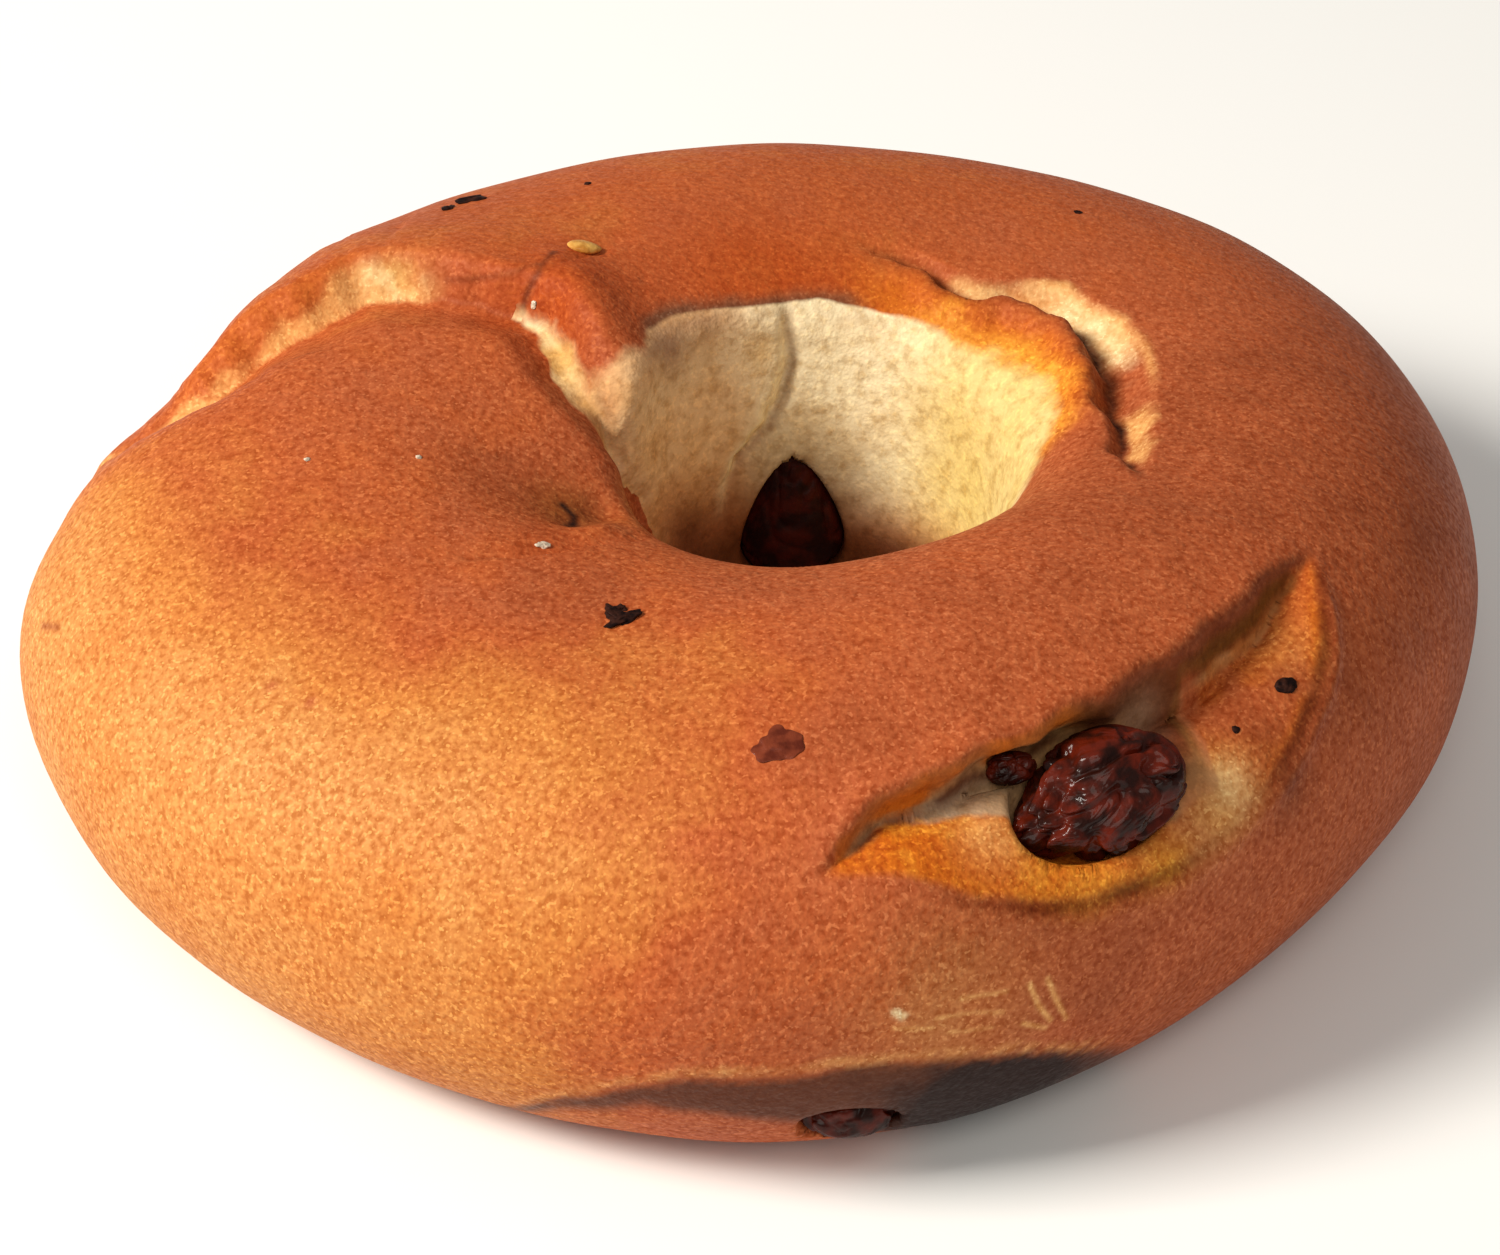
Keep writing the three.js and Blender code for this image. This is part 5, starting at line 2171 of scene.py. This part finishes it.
def ball(level: int) -> tuple[Points, Points]:
    """A ball of even triangles with radius one.

    Args:
        level: How often its 20 triangles are divided in four.

    Returns:
        Points and triangles.
    """
    g = (1 + math.sqrt(5)) / 2
    ends = [(-1, g, 0), (1, g, 0), (-1, -g, 0), (1, -g, 0), (0, -1, g), (0, 1, g)]
    ends += [(0, -1, -g), (0, 1, -g), (g, 0, -1), (g, 0, 1), (-g, 0, -1), (-g, 0, 1)]
    # Each side is its three ends' numbers, with a and b for 10 and 11.
    sides = "0b5 051 017 07a 0ab 159 5b4 ba2 a76 718 394 342 326 368 389 495 24b 62a 867 981"
    points = unit(np.array(ends, float))
    faces = np.array([[int(c, 16) for c in side] for side in sides.split()])
    for _ in range(level):
        pairs = np.sort(np.stack([faces, np.roll(faces, -1, 1)], -1), -1).reshape(-1, 2)
        total = len(points)
        keys, back = np.unique(pairs[:, 0] * total + pairs[:, 1], return_inverse=True)
        middle = unit(points[keys // total] + points[keys % total])
        (a, b, c), (ab, bc, ca) = faces.T, (total + back.reshape(-1, 3)).T
        points = np.vstack([points, middle])
        faces = np.concatenate(
            [np.stack(f, 1) for f in ((a, ab, ca), (ab, b, bc), (ca, bc, c), (ab, bc, ca))]
        )
    return points, faces


@dataclass
class Bread:
    """The baked ring of dough."""

    dough: Dough
    finish: CrustFinish = field(default_factory=CrustFinish)
    rounds: int = 3
    quick_rounds: int = 2

    def build(self) -> Piece:
        """Make the mesh and its colours.

        Returns:
            The piece.
        """
        rounds = self.rounds
        points, faces = DoughMesher(self.dough, rounds).build()
        LOG.info("bread surface: %d triangles", len(faces))
        layers = CrustPainter(self.dough, points).build()
        return Piece("bread", "bread", "crust", points, faces, self.finish.make(), layers)


@dataclass(frozen=True)
class Folds:
    """One layer of creases in a raisin's skin: how many, how bent, how deep and how narrow."""

    many: float
    bent: float
    deep: float
    narrow: float


@dataclass
class Raisin:
    """A dried grape with folded skin."""

    shape: RaisinShape
    material: bpy.types.Material
    level: int = 6
    large: Folds = Folds(1.5, 1.0, 1.0, 3.2)
    fine: Folds = Folds(2.7, 1.6, 0.32, 2.6)
    tiny: Folds = Folds(6.5, 2.0, 0.07, 2.4)

    def build(self) -> Piece:
        """Make the raisin.

        Returns:
            The piece.
        """
        way, faces = ball(self.level)
        shape = self.shape
        swollen = self._swollen(way)
        for x, y, z, radius, deep in shape.dents:
            far = np.linalg.norm(way - unit(np.array([x, y, z])), axis=-1)
            swollen = swollen - deep * bell(far / radius)
        local = way * shape.sizes(way[:, 2:3]) * swollen[:, None]
        points = local @ shape.frame().T + np.array(shape.at)
        return Piece(shape.node, shape.node, "raisin", points, faces, self.material)

    def _swollen(self, way: Points) -> Points:
        """How full the skin is in each direction, with its creases.

        Args:
            way: Directions from the raisin's middle.

        Returns:
            Shares of the plain oval's size.
        """
        grain = Grain(31 + int(self.shape.phase * 10))
        shift, deep = self.shape.phase * 3, self.shape.fold
        bend = np.stack([grain.at(way * 1.1 + k * 5 + shift) for k in range(3)], -1) * 0.5
        uneven = grain.at(way * 1.3 - shift)

        def crease(folds: Folds, move: float) -> Points:
            """How deep one layer of creases is."""
            line = np.abs(grain.at((way + bend * folds.bent) * folds.many + move))
            return folds.deep * deep * (1 - rise(line * folds.narrow))

        swollen = 0.98 + 0.5 * deep * uneven - crease(self.large, shift)
        swollen -= crease(self.fine, -shift) * rise(uneven * 2 + 0.7)
        return swollen - crease(self.tiny, shift)


@dataclass(frozen=True)
class BitShape:
    """A small thing on the crust: place, half sizes, turn, lift in half heights, unevenness."""

    ring: float
    rope: float
    half: Place
    turn: float = 0.0
    lift: float = 0.3
    rough: float = 0.25


class BitKind(Enum):
    """Kinds of small things on the crust."""

    BURNT = "burnt_bits"
    SKIN = "raisin_skin"
    PALE = "pale_grains"
    SEED = "sesame_seed"


BITS: dict[BitKind, tuple[BitShape, ...]] = {
    BitKind.BURNT: (
        BitShape(-119.4, 96.6, (1.25, 0.55, 0.3), 35, 0.2, 0.5),
        BitShape(-120.6, 97.4, (1.2, 0.6, 0.3), -55, 0.2, 0.5),
        BitShape(-121.3, 100.2, (0.5, 0.35, 0.25), 10, 0.2, 0.5),
        BitShape(129.6, 52.4, (1.1, 0.75, 0.25), 20, 0.1, 0.5),
        BitShape(133, 53.2, (0.6, 0.5, 0.2), 80, 0.1, 0.5),
        BitShape(-38, 41.3, (0.75, 0.6, 0.3), 30, 0.1, 0.3),
        BitShape(118, 66, (0.3, 0.25, 0.12), 0, 0.1),
        BitShape(55, 68, (0.35, 0.28, 0.12), 0, 0.1),
        BitShape(-45.5, 40.5, (0.3, 0.3, 0.12), 0, 0.1),
    ),
    BitKind.SKIN: (BitShape(-94, 62, (1.5, 1.35, 0.25), 15, -0.35, 0.45),),
    BitKind.PALE: (
        BitShape(-146, 115, (0.5, 0.32, 0.22), 10, 0.2, 0.4),
        BitShape(-174, 74, (0.24, 0.2, 0.12), 0, 0.2),
        BitShape(-173, 101, (0.24, 0.2, 0.12), 0, 0.2),
        BitShape(145.5, 103.5, (0.34, 0.26, 0.18), 40, 0.2),
    ),
    BitKind.SEED: (BitShape(129.5, 97.4, (1.4, 0.9, 0.42), 10, 0.55, 0.05),),
}


BIT_FINISHES: dict[BitKind, GlossyFinish] = {
    BitKind.BURNT: GlossyFinish("burnt_bit", "#341a12", "#140706", 0.6, 0.0, 0.6),
    BitKind.SKIN: GlossyFinish("skin_under_crust", "#74331e", "#562012", 0.5, 0.1, 1.2),
    BitKind.PALE: GlossyFinish("pale_grain", "#e0cdb4", "#a89a88", 0.4, 0.3, 0.4),
    BitKind.SEED: GlossyFinish("seed_coat", "#dca552", "#b97a30", 0.4, 0.3, 0.9),
}


@dataclass
class CrustBits:
    """Small things of one kind, in one mesh."""

    dough: Dough
    kind: BitKind
    material: bpy.types.Material
    level: int = 4
    seed_taper: float = 0.45
    first_grain: int = 50

    def build(self) -> Piece:
        """Make every thing of this kind.

        Returns:
            The piece.
        """
        points, faces = [], []
        for number, shape in enumerate(BITS[self.kind]):
            way, sides = ball(self.level)
            faces.append(sides + number * len(way))
            points.append(self._one(shape, way, number))
        return Piece(
            self.kind.value, "bread", "crust", np.vstack(points), np.vstack(faces), self.material
        )

    def _one(self, shape: BitShape, way: Points, number: int) -> Points:
        """Lay one thing on the crust.

        Args:
            shape: Its shape and place.
            way: A ball's points.
            number: Which one it is.

        Returns:
            Its points.
        """
        spot, out = self._ground(shape)
        grain = Grain(self.first_grain + number)
        uneven = 1 + shape.rough * grain.layered(way + number, 0.9, 2)
        local = way * np.array(shape.half) * uneven[:, None]
        if self.kind is BitKind.SEED:
            local[:, 1] *= 1 - self.seed_taper * np.clip(way[:, 0], 0, 1) ** 1.5
        angle = math.radians(shape.turn)
        right = unit(np.cross([0.0, 1.0, 0.0], out))
        side = np.cross(out, right)
        first = right * math.cos(angle) + side * math.sin(angle)
        axes = np.stack([first, np.cross(out, first), out])
        return spot + out * shape.lift * shape.half[2] + local @ axes

    def _ground(self, shape: BitShape) -> tuple[Points, Points]:
        """The surface's point under a thing, and the way out of it.

        Args:
            shape: The thing's shape and place.

        Returns:
            The place and a way of length one.
        """
        spot = self.dough.rope.spot(shape.ring, shape.rope)[None]
        spot = self.dough.settle(spot, 10)
        return spot[0], unit(slope_of(self.dough.distance, spot))[0]


# ---- the stage ----
@dataclass(frozen=True)
class Aim:
    """A place in polar form round a point: azimuth from the front, elevation and distance."""

    azimuth: float
    elevation: float
    distance: float
    target: Place = (0.0, 0.0, 0.015)

    def matrix(self) -> Matrix:
        """The place with its back to the way it looks.

        Returns:
            A 4 by 4 matrix.
        """
        a, e = math.radians(self.azimuth), math.radians(self.elevation)
        way = Vector((math.sin(a) * math.cos(e), -math.cos(a) * math.cos(e), math.sin(e)))
        at = Vector(self.target) + way * self.distance
        return Matrix.Translation(at) @ way.to_track_quat("Z", "Y").to_matrix().to_4x4()


@dataclass(frozen=True)
class SoftLight:
    """A square studio light."""

    name: str
    aim: Aim
    width: float
    power: float
    colour: Colour = (1.0, 1.0, 1.0)

    def place(self) -> None:
        """Put the light in the scene."""
        light = bpy.data.lights.new(self.name, "AREA")
        light.size, light.energy, light.color = self.width, self.power, self.colour
        lamp = bpy.data.objects.new(self.name, light)
        lamp.matrix_world = self.aim.matrix()
        bpy.context.scene.collection.objects.link(lamp)


@dataclass(frozen=True)
class Studio:
    """A pale floor, soft lights and a camera."""

    lights: tuple[SoftLight, ...] = (
        SoftLight("key", Aim(-74.5, 41, 0.9), 0.30, 10.5, (1.0, 0.95, 0.87)),
        SoftLight("front", Aim(8, 50, 0.9), 0.45, 2.0, (1.0, 0.95, 0.86)),
    )
    sky: float = 0.26
    sky_colour: Colour = (1, 0.99, 0.97)
    floor_colour: Colour = (0.9, 0.9, 0.89)
    floor_half: float = 3.0
    view: Aim = Aim(0, 38, 0.330, (-0.00074, -0.00993, 0.020))
    lens: float = 104.94
    sensor: float = 36.0

    def build(self) -> None:
        """Set floor, lights, surroundings and camera."""
        self._floor()
        for light in self.lights:
            light.place()
        world = bpy.data.worlds.new("studio")
        world.use_nodes = True
        backdrop = world.node_tree.nodes["Background"].inputs
        backdrop["Color"].default_value = (*self.sky_colour, 1)
        backdrop["Strength"].default_value = self.sky
        bpy.context.scene.world = world
        bpy.context.scene.view_settings.view_transform = "Standard"
        self._camera()

    def _floor(self) -> None:
        """Lay the floor."""
        shader = Shader("pale_floor")
        shader.give("Base Color", (*self.floor_colour, 1))
        shader.give("Roughness", 0.9)
        mesh, far = bpy.data.meshes.new("floor"), self.floor_half
        corners = [(-far, -far, 0), (far, -far, 0), (far, far, 0), (-far, far, 0)]
        mesh.from_pydata(corners, [], [(0, 1, 2, 3)])
        mesh.materials.append(shader.material)
        floor = bpy.data.objects.new("floor", mesh)
        bpy.context.scene.collection.objects.link(floor)
        floor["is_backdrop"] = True

    def _camera(self) -> None:
        """Set the camera."""
        camera = bpy.data.cameras.new("camera")
        camera.lens = self.lens
        camera.sensor_width = self.sensor
        camera.clip_start = 0.01
        holder = bpy.data.objects.new("camera", camera)
        holder.matrix_world = self.view.matrix()
        bpy.context.scene.collection.objects.link(holder)
        bpy.context.scene.camera = holder


# ---- the whole bagel ----
@dataclass
class Bagel:
    """The bread, its raisins and the small things on its crust."""

    dough: Dough = field(default_factory=Dough)
    large_mm: float = 6.0
    large_level: int = 6
    small_level: int = 5

    def pieces(self) -> list[Piece]:
        """Make every piece.

        Returns:
            The pieces.
        """
        wet, shaded_dull = WET_SKIN.make(), SHADED_DULL_SKIN.make()
        made = [Bread(self.dough).build()]
        for shape in RAISINS:
            level = self.large_level if max(shape.half) > self.large_mm else self.small_level
            # The raisin down in the hole takes the darker skin, whose colour is painted shade.
            skin = shaded_dull if shape.node == "raisin_hole" else wet
            made.append(Raisin(shape, skin, level).build())
        for kind, finish in BIT_FINISHES.items():
            made.append(CrustBits(self.dough, kind, finish.make()).build())
        return made


def main() -> None:
    """Build the bagel on its stage and log each piece's triangle count."""
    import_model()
    cad_low, cad_high = (np.array(corner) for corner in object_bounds())
    for piece in Bagel().pieces():
        made = piece.place(cad_low, cad_high)
        LOG.info("%s: %d triangles", made.name, len(made.data.polygons))
    Studio().build()


if __name__ == "__main__":
    logging.basicConfig(level=logging.INFO, format="%(message)s")
    main()
